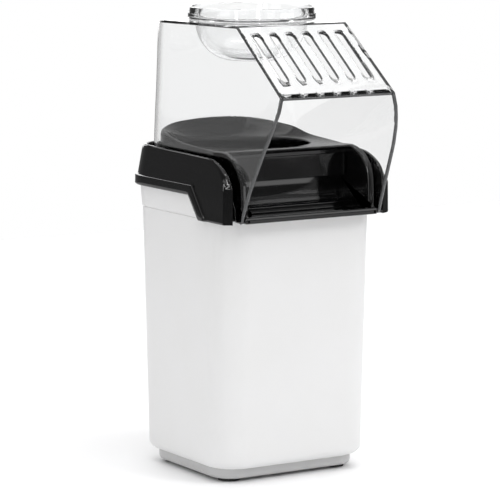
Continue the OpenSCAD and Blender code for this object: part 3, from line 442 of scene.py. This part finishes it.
# Collar: one closed cross-section carried round the open path. Its lower corner steps out as the lip
# while the lip's band lasts, its outer face leans in towards the top, and its inner top edge carries
# a rib that runs on down the wing.
def collarBand():
    c = collar
    side = np.r_[c["wingFront"], -54.1, -53.6, -53.0, -52.2, -51, -49.5, -47.5, -45, -42, -39, -36.75, -35,
                 -33, -31, -29.5, -27.5, -25, -22.2, -20.5, -19, -17, -8, 4, 16, 26, 31.5]
    path = openPath(side, 16, 6)
    n = len(path["kind"])
    planY = np.where(path["kind"] == 0, path["value"], 35.0)
    low, band, high = collarLow(planY, 0), collarLow(planY, c["band"]), collarHigh(planY)
    rib = np.maximum(ribHigh(planY), high)
    lipOn = np.clip((band - low) / 1.2, 0, 1)
    rear = planY > c["rearFrom"]

    def face(key, z):
        return np.interp(z, c["faceZ"], c[key])

    rows = []

    def add(half, backD, radius, z):
        rows.append([np.broadcast_to(a, (n,)).astype(float) for a in (half, backD, radius, z)])

    def addFace(z, proud=0.0):
        add(face("faceHalf", z) + proud, face("faceBack", z) + proud, face("faceR", z) + proud, z)

    # Inside, the part behind the wings and the wings themselves differ in plan and in height
    def addInner(rearPlan, rearZ, wingZ):
        add(*(np.where(rear, *pair) for pair in zip(rearPlan, c["inner"])), np.where(rear, rearZ, wingZ))

    lipHalf = face("faceHalf", low) + (c["lip"][0] - face("faceHalf", low)) * lipOn
    lipBack = face("faceBack", low) + (c["lip"][1] - face("faceBack", low)) * lipOn
    lipRound, edgeRound, ribRound, ribWide = c["lipRound"], c["edgeRound"], c["ribRound"], c["ribWide"]
    for t, drop in ((0.0, 0.9), (0.3, 0.45), (0.75, 0.12), (1.0, 0.0)):
        add(lipHalf - drop * lipRound, lipBack - drop * lipRound, 21.4, low + lipRound * t * t)
    for t in (0.3, 0.7):
        add(lipHalf, lipBack, 21.8, low + lipRound + (np.maximum(band - low, 1.4) - 1.8) * t * lipOn)
    topLip = np.maximum(band, low + 1.2)
    add(lipHalf, lipBack, 21.8, topLip - 0.7 * lipOn - 0.05)
    add(lipHalf - 0.18 * lipOn, lipBack - 0.18 * lipOn, 21.6, topLip - 0.25 * lipOn)
    add(lipHalf - 0.6 * lipOn, lipBack - 0.6 * lipOn, 21.3, topLip + 0.02)
    addFace(topLip + 0.06, 0.12)
    addFace(topLip + 0.35)
    faceTop = high - 1.3
    for t in (0.12, 0.25, 0.4, 0.55, 0.7, 0.85, 0.95):
        addFace(topLip + 0.5 + (faceTop - topLip - 0.5) * t)
    for angle in np.radians([0, 25, 50, 72, 90]):
        inset, lean = edgeRound * (1 - math.cos(angle)), 0.2 * math.sin(angle)
        add(face("faceHalf", faceTop) - inset - lean, face("faceBack", faceTop) - inset - lean, 19.0,
            faceTop + edgeRound * math.sin(angle))
    ribUp = rib - high
    ribOn = np.clip(ribUp, 0, 1)
    add(51.25 - ribWide * (1 - ribOn), 51.25 - ribWide, 18.5, high - 0.05)
    add(51.0 - ribWide * (1 - ribOn), 50.1, 18.3, high + ribUp * 0.6)
    for angle in np.radians([15, 45, 75, 90]):
        add(50.1 + ribWide * math.cos(angle) * ribOn - 0.1 * math.sin(angle), 50.0, 18.0,
            rib - ribRound + ribRound * math.sin(angle))
    innerHalf, innerBack, innerR = c["inner"]
    for angle in np.radians([90, 60, 30, 0]):
        turned = ribRound * math.cos(angle)
        add(innerHalf + ribRound - turned, innerBack + ribRound - turned, innerR + 0.6,
            rib - ribRound + ribRound * math.sin(angle))
    add(*c["inner"], np.minimum(rib - 2, 175))
    addInner(c["inner"], 166.8, np.minimum(rib - 4, 160))
    addInner(c["shelf"], 166.8, 152.0)
    addInner(c["shelf"], 164.8, 150.0)
    addInner(c["skirt"], 164.6, 149.0)
    addInner(c["skirt"], low, low)
    half, backD, radius, z = (np.array([row[i] for row in rows]).T for i in range(4))
    wide = {key: np.broadcast_to(path[key][:, None], half.shape) for key in path}
    # the rib and the wing's inner face reach a little further forward than the outer face
    place = dict(wide)
    onWing = (wide["kind"] == 0) & (wide["value"] < c["wingTop"])
    forward = np.where(onWing, (wide["value"] - c["wingTop"]) * (c["rib"] - 1), 0)
    inward = np.clip((52.2 - half) / 1.2, 0, 1)
    place["value"] = wide["value"] + forward * inward
    x, y = planPoint(place, half, backD, radius)
    points = np.stack([x, y, z], -1)
    m = half.shape[1]
    faces = gridFaces(n, m, closeCols=True).tolist()
    faces += [list(range(m))[::-1], list(range((n - 1) * m, n * m))]
    patches = [(points, faces)]
    for sx in (-1, 1):  # floor of the groove between the wing and the chute
        patches.append(roundedBlock((sx * 48.1, -43, 148.5), (9.4, 18, 1.8), 0.3))
    return patches


# A block with rounded edges: each point of a cube's six grids is pulled in to the inner box and then
# pushed out again by the radius along the direction that is left.
def roundedBlock(centre, size, radius, steps=4):
    line = np.r_[-1, -1 + np.linspace(0, 1, steps)[1:] * 0.2, 1 - np.linspace(1, 0, steps)[:-1] * 0.2, 1]
    line = np.unique(line)
    u, v = np.meshgrid(line, line, indexing="ij")
    one = np.ones_like(u)
    sheets, half = [], np.array(size) / 2
    sheetAxes = [(a, (a + 1) % 3, (a + 2) % 3, sign) for a in range(3) for sign in (1, -1)]
    for a, b, c, sign in sheetAxes:
        p = np.zeros(u.shape + (3,))
        p[..., a], p[..., b], p[..., c] = u, v, sign * one
        p = p * half
        core = np.clip(p, -(half - radius), half - radius)
        away = p - core
        length = np.maximum(np.linalg.norm(away, axis=-1, keepdims=True), 1e-9)
        p = core + away / length * radius
        faces = gridFaces(len(line), len(line))
        sheets.append((p + np.array(centre), faces if sign > 0 else faces[:, ::-1]))
    points, faces = joinPatches(sheets)
    return points, faces


makePiece("collarBand", collarBand(), "housing", ["collar"], [collarBlack], 34)


chute = {"half": 43.0, "cheek": 4.2, "cheekRound": 1.5, "topZ": 183.6, "reach": 60.5, "mouth": 34.2,
         "neck": 1.4, "potY": 6.0, "holeZ": 183.2, "rimBackZ": 194.4, "rimRadius": 221.0,
         "rimTilt": math.radians(3.9), "dishHalf": 44.0, "dishBack": 44.8, "dishFront": -35.6, "dishR": 23.0,
         "frontR": 7.0, "closeIn": 0.042, "bend": 2.4, "sag": 2.2, "skirtZ": 166.8,
         "hollow": (-42.0, 166), "hollowSize": (12.0, 15.4), "cheekTurn": (-34.6, 164)}


# Height of the dish's rim: highest at the back, rounded off across, tilted forward, and sagging by a
# smooth step in front of the middle
def rimHeight(x, y):
    c = chute
    sag = np.clip((30 - y) / 26, 0, 1)
    level = c["rimBackZ"] - x ** 2 / (2 * c["rimRadius"]) - (c["dishBack"] - y) * math.tan(c["rimTilt"])
    return level - c["sag"] * sag * sag * (3 - 2 * sag)


# Dish: rings at equal turns round the pot's axis. Each ring starts under the skirt outside, goes up and
# over the rounded rim, then slides down a smooth S-shaped slope to the mouth and into the neck.
def dishBowl():
    c = chute
    turn = np.linspace(0, 2 * np.pi, 161)[:-1]
    dx, dy = np.cos(turn), np.sin(turn)
    reach = np.linspace(0, 70, 1401)[None, :]
    px, py = dx[:, None] * reach, c["potY"] + dy[:, None] * reach
    # distance to the rounded outline, whose sides close in towards the front with the hood
    half = c["dishHalf"] - np.clip(12 - py, 0, 60) * c["closeIn"]
    backY, frontY = c["dishBack"], c["dishFront"]
    r = np.where(py > 0, c["dishR"], c["frontR"])
    midY, halfY = (backY + frontY) / 2, (backY - frontY) / 2
    qx, qy = abs(px) - (half - r), abs(py - midY) - (halfY - r)
    inside = np.hypot(np.maximum(qx, 0), np.maximum(qy, 0)) + np.minimum(np.maximum(qx, qy), 0) - r
    edge = (inside < 0).sum(1) * (reach[0, 1] - reach[0, 0])
    ex, ey = dx * edge, c["potY"] + dy * edge
    rim = rimHeight(ex, ey)
    front = np.clip((-ey - 24) / 9, 0, 1)
    front = front * front * (3 - 2 * front)
    rim = rim * (1 - front) + (c["topZ"] - 0.05) * front
    lines = []

    def ring(inwardBy, z):
        far = edge - inwardBy
        lines.append(np.stack([dx * far, c["potY"] + dy * far, z * np.ones_like(far)], -1))

    ring(0.0, np.full_like(edge, c["skirtZ"]))
    ring(0.0, rim - 6)
    bend = np.minimum(c["bend"], np.maximum(rim - c["holeZ"], 0.4) * 0.8)
    ring(0.0, rim - bend)
    for a in np.radians([15, 32, 50, 70, 90]):
        ring(bend * (1 - math.cos(a)), rim - bend + bend * math.sin(a))
    span = edge - bend - (c["mouth"] + 1.0)
    for t in np.linspace(0, 1, 18)[1:]:
        fall = (1 - t) ** 1.5 * (1 + 0.5 * t)
        ring(bend + span * t, c["holeZ"] + (rim - c["holeZ"]) * fall)

    # Level rounds below the mouth: its rounded edge, then down the neck and up its outside
    def level(far, z):
        lines.append(np.stack([dx * far, c["potY"] + dy * far, np.full_like(dx, z)], -1))

    for a in np.radians([30, 60, 90]):
        level(c["mouth"] + 1.0 - 1.0 * math.sin(a), c["holeZ"] - 1.0 + math.cos(a))
    level(c["mouth"], 179)
    level(c["mouth"], 174.2)
    level(c["mouth"] + c["neck"], 174.2)
    level(c["mouth"] + c["neck"], 178)
    ring(c["neck"], rim - 6)
    ring(c["neck"], np.full_like(edge, c["skirtZ"]))
    points = np.stack(lines, 0)
    return points, gridFaces(len(lines), len(turn), closeRows=True, closeCols=True)


# Cheek: its edge seen from the side, as points from the top at the back, round the front and along
# the bottom; each edge point carries a rounded strip across the cheek's thickness, and both faces
# close inwards to a middle line.
def cheekEdge():
    turnY, turnZ = chute["cheekTurn"]
    arc = np.radians(np.linspace(90, 172, 26))
    front = chute["reach"] - 3.4 + turnY
    curve = np.stack([turnY + front * np.cos(arc), turnZ + (chute["topZ"] - turnZ) * np.sin(arc)], -1)
    tail = np.array([[-57.3, 158], [-57.35, 155.5], [-57.6, 153.2], [-58.6, 151.2], [-60.0, 149.9],
                     [-60.5, 149.0], [-60.5, 147.4], [-60.0, 146.85]])
    start = np.array([[-28.0, chute["topZ"] - 0.2], [-31.5, chute["topZ"] - 0.05]])
    end = np.array([[-50.0, 146.8], [-40.0, 146.8], [-30.0, 146.8]])
    return np.vstack([start, curve, tail, end])


def cheekPatch(side):
    edge = cheekEdge()
    travel = np.gradient(edge, axis=0)
    travel /= np.linalg.norm(travel, axis=1, keepdims=True)
    inward = np.stack([-travel[:, 1], travel[:, 0]], -1)  # to the left of the direction of travel
    outer, inner = chute["half"], chute["half"] - chute["cheek"]
    rows = []
    r = chute["cheekRound"]
    core = np.array([[-29.0, 165.0]]) * np.ones((len(edge), 1))

    def strip(x, depth):
        rows.append(np.column_stack([np.full(len(edge), side * x), edge + inward * depth]))

    rows.append(np.column_stack([np.full(len(edge), side * inner), core]))
    strip(inner, 6.0)
    strip(inner, 2.8)
    for a in np.radians([0, 22, 45, 68, 90]):
        strip(inner + r - r * math.cos(a), r - r * math.sin(a))
    strip((inner + outer) / 2, 0.0)
    for a in np.radians([90, 68, 45, 22, 0]):
        strip(outer - r + r * math.cos(a), r - r * math.sin(a))
    strip(outer, 2.8)
    strip(outer, 6.0)
    rows.append(np.column_stack([np.full(len(edge), side * outer), core]))
    points = np.stack(rows, 0)
    faces = gridFaces(len(rows), len(edge))
    return points, faces


# Trough: the profile of hollow wall, two small ledges, floor and rounded front lip, swept straight
# across between the cheeks, and back underneath.
def troughPatch():
    c = chute
    arc = np.radians(np.linspace(61, -57, 40))
    (middleY, middleZ), (halfY, halfZ) = c["hollow"], c["hollowSize"]
    hollow = np.stack([middleY + halfY * np.cos(arc), middleZ + halfZ * np.sin(arc)], -1)
    top = np.array([[-29.0, 183.0], [-33.0, 183.5], [-36.2, 183.6], [-37.2, 183.52], [-37.75, 183.1],
                    [-37.85, 182.6], [-37.4, 182.0], [-36.6, 181.2]])
    ledge = np.array([[-38.2, 153.3], [-38.7, 152.95], [-39.9, 152.85], [-40.6, 152.7], [-40.95, 152.4],
                      [-41.0, 152.0], [-40.5, 150.4], [-40.6, 149.8], [-41.3, 149.35]])
    base = np.array([[-46, 149.1], [-52, 148.9], [-56.6, 148.8], [-57.9, 149.0], [-58.7, 149.5],
                     [-59.2, 150.2], [-59.6, 150.55], [-60.0, 150.6], [-60.35, 150.4], [-60.5, 150.0],
                     [-60.5, 147.4], [-60.35, 147.0], [-59.9, 146.8], [-50, 146.8], [-29, 146.8]])
    profile = np.vstack([top, hollow, ledge, base])
    across = np.linspace(-(c["half"] - 1.0), c["half"] - 1.0, 9)
    x = across[:, None] * np.ones(len(profile))[None, :]
    y, z = (np.broadcast_to(profile[:, i], x.shape) for i in range(2))
    points = np.stack([x, y, z], -1)
    faces = gridFaces(len(across), len(profile), closeCols=True).tolist()
    m = len(profile)
    faces += [list(range(m)), list(range((len(across) - 1) * m, len(across) * m))[::-1]]
    return points, faces


makePiece("chuteDish", [dishBowl()], "housing", ["chute"], [chuteBlack], 40)
for side, label in ((-1, "Left"), (1, "Right")):
    makePiece("chuteCheek" + label, [cheekPatch(side)], "housing", ["chute"],
              [chuteBlack], 40)
makePiece("chuteTrough", [troughPatch()], "housing", ["chute"], [chuteBlack], 30)


hood = {"wall": 1.6, "topZ": 251.9, "visorZ": 216.2, "visorTopY": -38.5, "reach": 85.5, "lowerZ": 166.85,
        "cupY": 2.7, "holeR": 31.6, "slots": 6, "pitch": 10.6, "slotR": 2.5, "slotFrom": 7.6, "slotTo": 46.2,
        "wingY": -22, "wingRun": 30.5, "wingZ": 152.45, "cornerFrom": -52.35, "cornerY": -55.6,
        "cornerRun": 3.2, "cornerZ": 151, "cornerDrop": 3.8, "tipZ": 147.2, "frontFrom": -59.2,
        "edgeStrip": 1.3, "foldStrip": 0.55, "slotStrip": 3}
# Plan of the hood at a few heights: half width at the back, depth, half width at the front, corner
hoodZ = np.array([142, 151, 164, 187, 199, 209, 216.2, 240, 249.4, 250.6, 251.4, 251.9])
hoodHalf = np.array([47.2, 47.1, 46.8, 46, 45.5, 45, 44.6, 43.2, 42.6, 42.4, 42.0, 41.4])
hoodBack = np.array([47.4, 47.3, 47.1, 46.7, 46.6, 46.5, 46.5, 46.5, 46.4, 46.3, 46.1, 45.6])
hoodFront = np.array([45.4, 45.2, 44.6, 42.6, 40.6, 38.2, 36.5, 35.9, 35.6, 35.5, 35.4, 35.3])
hoodR = np.array([20, 20, 20, 19, 19, 19, 19, 18, 18, 17.8, 17.5, 17])
visorSlope = math.atan2(hood["topZ"] - hood["visorZ"], hood["reach"] + hood["visorTopY"])


def visorZAt(y):
    return hood["topZ"] + (y - hood["visorTopY"]) * math.tan(visorSlope)


def visorYAt(z):
    return hood["visorTopY"] - (hood["topZ"] - z) / math.tan(visorSlope)


# Depth of the open front edge at those heights; the last five lie on the visor
hoodFrontY = np.r_[-57.5, -60.5, -66, -77.3, -82.7, -85.5, -85.5, visorYAt(hoodZ[7:])]


# Half width of the hood at a height and depth: straight from the back corner to the front edge
def hoodSide(y, z):
    start = np.interp(z, hoodZ, hoodBack) - np.interp(z, hoodZ, hoodR)
    wide, narrow = np.interp(z, hoodZ, hoodHalf), np.interp(z, hoodZ, hoodFront)
    frontY = np.interp(z, hoodZ, hoodFrontY)
    return wide + (narrow - wide) * (start - y) / (start - frontY)


# Lower edge of the hood at a depth: level, a quarter round over the wing, then up the open front
def hoodLow(y):
    h = hood
    overWing = np.sqrt(np.clip(1 - ((h["wingY"] - y) / h["wingRun"]) ** 2, 0, 1))
    low = np.where(y > h["wingY"], h["lowerZ"], h["wingZ"] + (h["lowerZ"] - h["wingZ"]) * overWing)
    corner = np.sqrt(np.clip(1 - ((y - h["cornerY"]) / h["cornerRun"]) ** 2, 0, 1))
    low = np.where(y < h["cornerFrom"], h["cornerZ"] - h["cornerDrop"] * corner, low)
    low = np.where(y < h["cornerY"], h["tipZ"], low)
    return np.where(y < h["frontFrom"], np.interp(-y, -hoodFrontY[:6], hoodZ[:6]), low)


visorY = np.linspace(-hood["reach"], hood["visorTopY"], 25)


def hoodWall():
    side = np.unique(np.r_[visorY, -84.2, -60.5, -59.2, -58, -56.5, -55.6, -54.6, -53.7, -52.9, -52.3, -50.5,
                           -48.5, -46, -43, -36, -32, -27, -22, -14, -5, 5, 15, 26])
    path = openPath(side, 16, 6)
    value = np.where(path["kind"] == 0, path["value"], 30.0)
    low = hoodLow(value)
    high = np.where(value > hood["visorTopY"] + 1e-6, hood["topZ"], visorZAt(value))
    # a narrow row along the cut edge, then even rows, and the last three rows round the top edge over;
    # under the visor they only follow it
    hem = np.minimum(np.where(value < hood["frontFrom"], 2.7, 0.9), (high - low) * 0.2)
    tail = np.minimum(2.5, (high - low) * 0.2)
    start = low + hem
    body = start[:, None] + np.linspace(0, 1, 22) * (high - tail - start)[:, None]
    last = high[:, None] - np.array([1.3, 0.5, 0.0]) * (tail / 2.5)[:, None]
    z = np.hstack([low[:, None], body, last])
    half = np.interp(z, hoodZ, hoodHalf)
    backD, radius = np.interp(z, hoodZ, hoodBack), np.interp(z, hoodZ, hoodR)
    wide = {key: np.broadcast_to(path[key][:, None], z.shape) for key in path}
    x, y = planPoint(wide, half, backD, radius)
    onSide = wide["kind"] == 0
    x = np.where(onSide, wide["side"] * hoodSide(wide["value"], z), x)
    y = np.where(onSide, wide["value"], y)
    points = np.stack([x, y, z], -1)
    return (points, gridFaces(*z.shape)), points[:, -1]


# Top plate: rays from the round hole to the outline, a few rings between
def hoodTop(rimLine):
    rim = rimLine[rimLine[:, 1] > hood["visorTopY"] - 1e-6]
    cells = visorBorders(np.array([hood["visorTopY"]]))[:, 0]
    steps = [np.linspace(a, b, 7)[:-1] for a, b in zip(cells[:-1], cells[1:])]
    frontX = np.concatenate(steps + [[cells[-1]]])
    one = np.ones(len(frontX))
    front = np.column_stack([frontX[::-1], one * hood["visorTopY"], one * hood["topZ"]])
    loop = np.vstack([rim, front[1:-1]])
    centre = np.array([0, hood["cupY"]])
    away = loop[:, :2] - centre
    away = away / np.linalg.norm(away, axis=1, keepdims=True)
    ring = np.column_stack([centre + away * hood["holeR"], np.full(len(loop), hood["topZ"])])
    t = np.linspace(0, 1, 5)[:, None, None]
    points = loop[None] * (1 - t) + ring[None] * t
    return points, gridFaces(5, len(loop), closeCols=True)


# Edges between the slots' cells at a depth: evenly pitched, the outermost being the visor's own sides
def visorBorders(y):
    inner = (np.arange(1, hood["slots"]) - hood["slots"] / 2) * hood["pitch"]
    edge = hoodSide(y, visorZAt(y))
    return np.vstack([-edge, *[np.full(len(y), b) for b in inner], edge])


# Visor cell: the border loop of each slot's cell, pulled in rings onto the nearest point of the slot
def visorCells():
    patches = []
    borders = visorBorders(visorY)
    slope = math.cos(visorSlope)
    for i in range(hood["slots"]):
        x0, x1 = borders[i], borders[i + 1]
        centreX = (i - (hood["slots"] - 1) / 2) * hood["pitch"]
        up = np.column_stack([x1, visorY])
        down = np.column_stack([x0, visorY])[::-1]
        top = np.column_stack([np.linspace(x1[-1], x0[-1], 7), np.full(7, visorY[-1])])
        bottom = np.column_stack([np.linspace(x0[0], x1[0], 7), np.full(7, visorY[0])])
        loop = np.vstack([up[:-1], top[:-1], down[:-1], bottom[:-1]])
        along = (hood["visorTopY"] - loop[:, 1]) / slope  # distance down the slope from the top edge
        near = np.clip(along, hood["slotFrom"] + hood["slotR"], hood["slotTo"] - hood["slotR"])
        dx, da = loop[:, 0] - centreX, along - near
        length = np.hypot(dx, da)
        slotX, slotA = centreX + dx / length * hood["slotR"], near + da / length * hood["slotR"]
        t = np.array([0, 0.35, 0.7, 1.0])[:, None]
        x = loop[None, :, 0] * (1 - t) + slotX * t
        a = along[None] * (1 - t) + slotA * t
        y = hood["visorTopY"] - a * slope
        points = np.stack([x, y, visorZAt(y)], -1)
        patches.append((points, gridFaces(4, len(loop), closeCols=True)))
    return patches


# Light is trapped in the thickness of a cut edge, so the strips beside the open front edge and along
# each side of the visor look dark: their faces take the dark edge material, painted shade. The slots' edges
# are paler.
def markEdges(piece):
    faces = piece.data.polygons
    centre = np.empty(len(faces) * 3)
    faces.foreach_get("center", centre)
    x, y, z = (centre.reshape(-1, 3) * 1000 - [0, axisY, 0]).T
    frontY = np.interp(z, hoodZ, hoodFrontY)
    nearFront = (abs(x) > 30) & (z < hood["visorZ"]) & (y < frontY + hood["edgeStrip"])
    below = visorZAt(y) - z
    nearFold = (below > 0.02) & (below < hood["foldStrip"]) & (y < hood["visorTopY"])
    along = (hood["visorTopY"] - y) / math.cos(visorSlope)
    slotEnds = hood["slotFrom"] - hood["slotStrip"], hood["slotTo"] + hood["slotStrip"]
    bySlot = (abs(below) < 0.02) & (along > slotEnds[0]) & (along < slotEnds[1])
    index = np.where(nearFront | nearFold, 1, np.where(bySlot, 3, 0))
    faces.foreach_set("material_index", index.astype(np.int32))


# The sheet gets its thickness inwards, and its rim takes the material after the one of its face
def addWall(piece, thickness):
    wall = piece.modifiers.new("wall", "SOLIDIFY")
    wall.thickness, wall.offset, wall.use_even_offset = thickness / 1000, -1, True
    wall.use_quality_normals = True
    wall.material_offset_rim = 1


wallPatch, hoodRim = hoodWall()
coverPatches = [wallPatch, hoodTop(hoodRim)] + visorCells()
# after the clear material come the dark edge materials: painted shade on the hood's cut edges
cover = makePiece("hoodCover", coverPatches, "hood", ["hood"],
                  [coverClear, coverEdgeShade, coverEdgeShade, coverClear, slotEdgeShade], 30)
markEdges(cover)
addWall(cover, hood["wall"])


cup = {"ringR": 35.7, "topZ": 260.0, "floorZ": 229.6, "bowlR": 31.0, "wall": 1.6, "seatZ": 252.2, "y": 2.7}


# Cup: a closed profile (radius, height) turned round the cup's axis: bowl outside, flange, ring, and
# back down inside
def cupBody():
    c = cup
    ringR, bowlR, wall = c["ringR"], c["bowlR"], c["wall"]
    topZ, seatZ, floorZ = c["topZ"], c["seatZ"], c["floorZ"]
    flat = 10  # radius at which the bowl's flat floor starts to curve up
    depth = hood["topZ"] - floorZ
    arc = np.radians(np.linspace(-90, -4, 26))
    outside = np.column_stack([flat + (bowlR - flat) * np.cos(arc), floorZ + depth + depth * np.sin(arc)])
    ring = [[bowlR, seatZ], [ringR - 0.5, seatZ], [ringR - 0.1, seatZ + 0.15], [ringR, seatZ + 0.5],
            [ringR, topZ - 0.6], [ringR - 0.15, topZ - 0.18], [ringR - 0.55, topZ], [ringR - 1.05, topZ],
            [ringR - 1.45, topZ - 0.18], [ringR - 1.6, topZ - 0.6], [ringR - 1.6, seatZ + 2.4],
            [ringR - 1.9, seatZ + 1.85], [ringR - 2.4, seatZ + 1.7], [bowlR - 1.2, seatZ + 1.7],
            [bowlR - 1.5, seatZ + 1.3]]
    back = arc[::-1]
    inside = np.column_stack([flat + (bowlR - flat - wall) * np.cos(back),
                              floorZ + depth + (depth - wall) * np.sin(back)])
    profile = np.vstack([[[0.0, floorZ], [5.0, floorZ]], outside, ring, inside,
                         [[5.0, floorZ + wall], [0.0, floorZ + wall]]])
    turn = np.linspace(0, 2 * np.pi, 129)[:-1]
    x = profile[:, 0][None] * np.cos(turn)[:, None]
    y = c["y"] + profile[:, 0][None] * np.sin(turn)[:, None]
    z = np.broadcast_to(profile[:, 1], x.shape)
    return np.stack([x, y, z], -1), gridFaces(len(turn), len(profile), closeRows=True)


makePiece("measuringCup", [cupBody()], "cup", ["measuring_cup"], [coverClear], 30, merge=0.01)


print("kept parts")
for name, part in frame["nodes"].items():
    # the base plate takes the darkened white, painted shade, and the other parts their own finish
    finish = plinthPaintedShade if name == "base_plate" else finishes.get(nodeSlot.get(name))
    if finish and not part.hide_render:
        part.data.materials.clear()
        part.data.materials.append(finish)


studio = {"floor": (0.90, 0.90, 0.905, 1), "half": 0.9, "seen": 1.0, "diffuse": 0.5, "glossy": 0.20,
          "covered": 0.65, "key": 5.8, "fill": 2.5, "back": 2, "strip": 2.5, "sky": 1.35,
          "rimGloss": 11, "edgeGloss": 9, "sideGloss": 3, "bandGloss": 1.7}
print("studio")
bpy.context.scene.view_settings.view_transform = "Standard"
floorMesh = bpy.data.meshes.new("floor")
reach = studio["half"]
corners = [(-reach, -reach, 0), (reach, -reach, 0), (reach, reach, 0), (-reach, reach, 0)]
floorMesh.from_pydata(corners, [], [(0, 1, 2, 3)])
floor = bpy.data.objects.new("floor", floorMesh)
bpy.context.scene.collection.objects.link(floor)
floorShade = Shade("floorPale", {"Roughness": 0.75, "Specular IOR Level": 0.2})
floorCloud = floorShade.noise(400, detail=2)
floorShade.feed({"Base Color": floorShade.blend(floorCloud, studio["floor"], toned(studio["floor"], 0.985))})
floorMesh.materials.append(floorShade.material)

# The surroundings look white straight on or through the clear hood, and are dimmer in reflections
world = bpy.data.worlds.new("studio")
bpy.context.scene.world = world
world.use_nodes = True
worldTree = world.node_tree
ray = worldTree.nodes.new("ShaderNodeLightPath")
covered, mirrored, scattered = (worldTree.nodes.new("ShaderNodeMapRange") for step in range(3))
covered.inputs["To Min"].default_value = studio["glossy"]
covered.inputs["To Max"].default_value = studio["covered"]
mirrored.inputs["To Min"].default_value = studio["seen"]
scattered.inputs["To Max"].default_value = studio["diffuse"]
worldTree.links.new(ray.outputs["Transmission Depth"], covered.inputs["Value"])
worldTree.links.new(covered.outputs["Result"], mirrored.inputs["To Max"])
worldTree.links.new(ray.outputs["Glossy Depth"], mirrored.inputs["Value"])
worldTree.links.new(mirrored.outputs["Result"], scattered.inputs["To Min"])
worldTree.links.new(ray.outputs["Diffuse Depth"], scattered.inputs["Value"])
worldTree.links.new(scattered.outputs["Result"], worldTree.nodes["Background"].inputs["Strength"])
worldTree.nodes["Background"].inputs["Color"].default_value = (1, 1, 1, 1)


# A light can be kept out of reflections (gloss off), or show in nothing else (matt off)
def softLight(name, place, aim, size, power, matt=True, gloss=True):
    data = bpy.data.lights.new(name, "AREA")
    data.shape, data.size, data.size_y, data.energy = "RECTANGLE", size[0], size[1], power
    light = bpy.data.objects.new(name, data)
    light.location = place
    light.rotation_mode = "QUATERNION"
    light.rotation_quaternion = (Vector(aim) - Vector(place)).to_track_quat("-Z", "Y")
    bpy.context.scene.collection.objects.link(light)
    # lights stay out of the view, also through the hood
    light.visible_camera = light.visible_transmission = False
    light.visible_diffuse, light.visible_glossy = matt, gloss


# a very wide, even light from above keeps the floor the same shade out to the horizon
skyData = bpy.data.lights.new("skyLight", "SUN")
skyData.energy, skyData.angle = studio["sky"], math.radians(80)
skyLight = bpy.data.objects.new("skyLight", skyData)
bpy.context.scene.collection.objects.link(skyLight)
softLight("keyLight", (0.60, -1.0, 0.95), (0, 0, 0.13), (0.5, 0.4), studio["key"], gloss=False)
softLight("stripLight", (0, -0.25, 1.2), (0, 0, 0.18), (0.9, 0.14), studio["strip"])
softLight("fillLight", (-1.4, -0.2, 0.6), (0, 0, 0.13), (0.5, 0.9), studio["fill"])
softLight("backLight", (0.3, 1.3, 0.9), (0, 0, 0.15), (0.9, 0.5), studio["back"])
softLight("rimGloss", (0.63, 1.02, 0.68), (0, 0, 0.15), (1.6, 1.1), studio["rimGloss"], matt=False)
softLight("edgeGloss", (-0.95, -0.85, 1.05), (0, 0, 0.17), (0.22, 0.7), studio["edgeGloss"], matt=False)
softLight("sideGloss", (-1.1, -0.64, 0.35), (0, 0, 0.17), (0.12, 0.9), studio["sideGloss"], matt=False)
softLight("bandGloss", (0.75, -1.1, 0.22), (0, 0, 0.165), (0.7, 0.3), studio["bandGloss"], matt=False)


print("done")
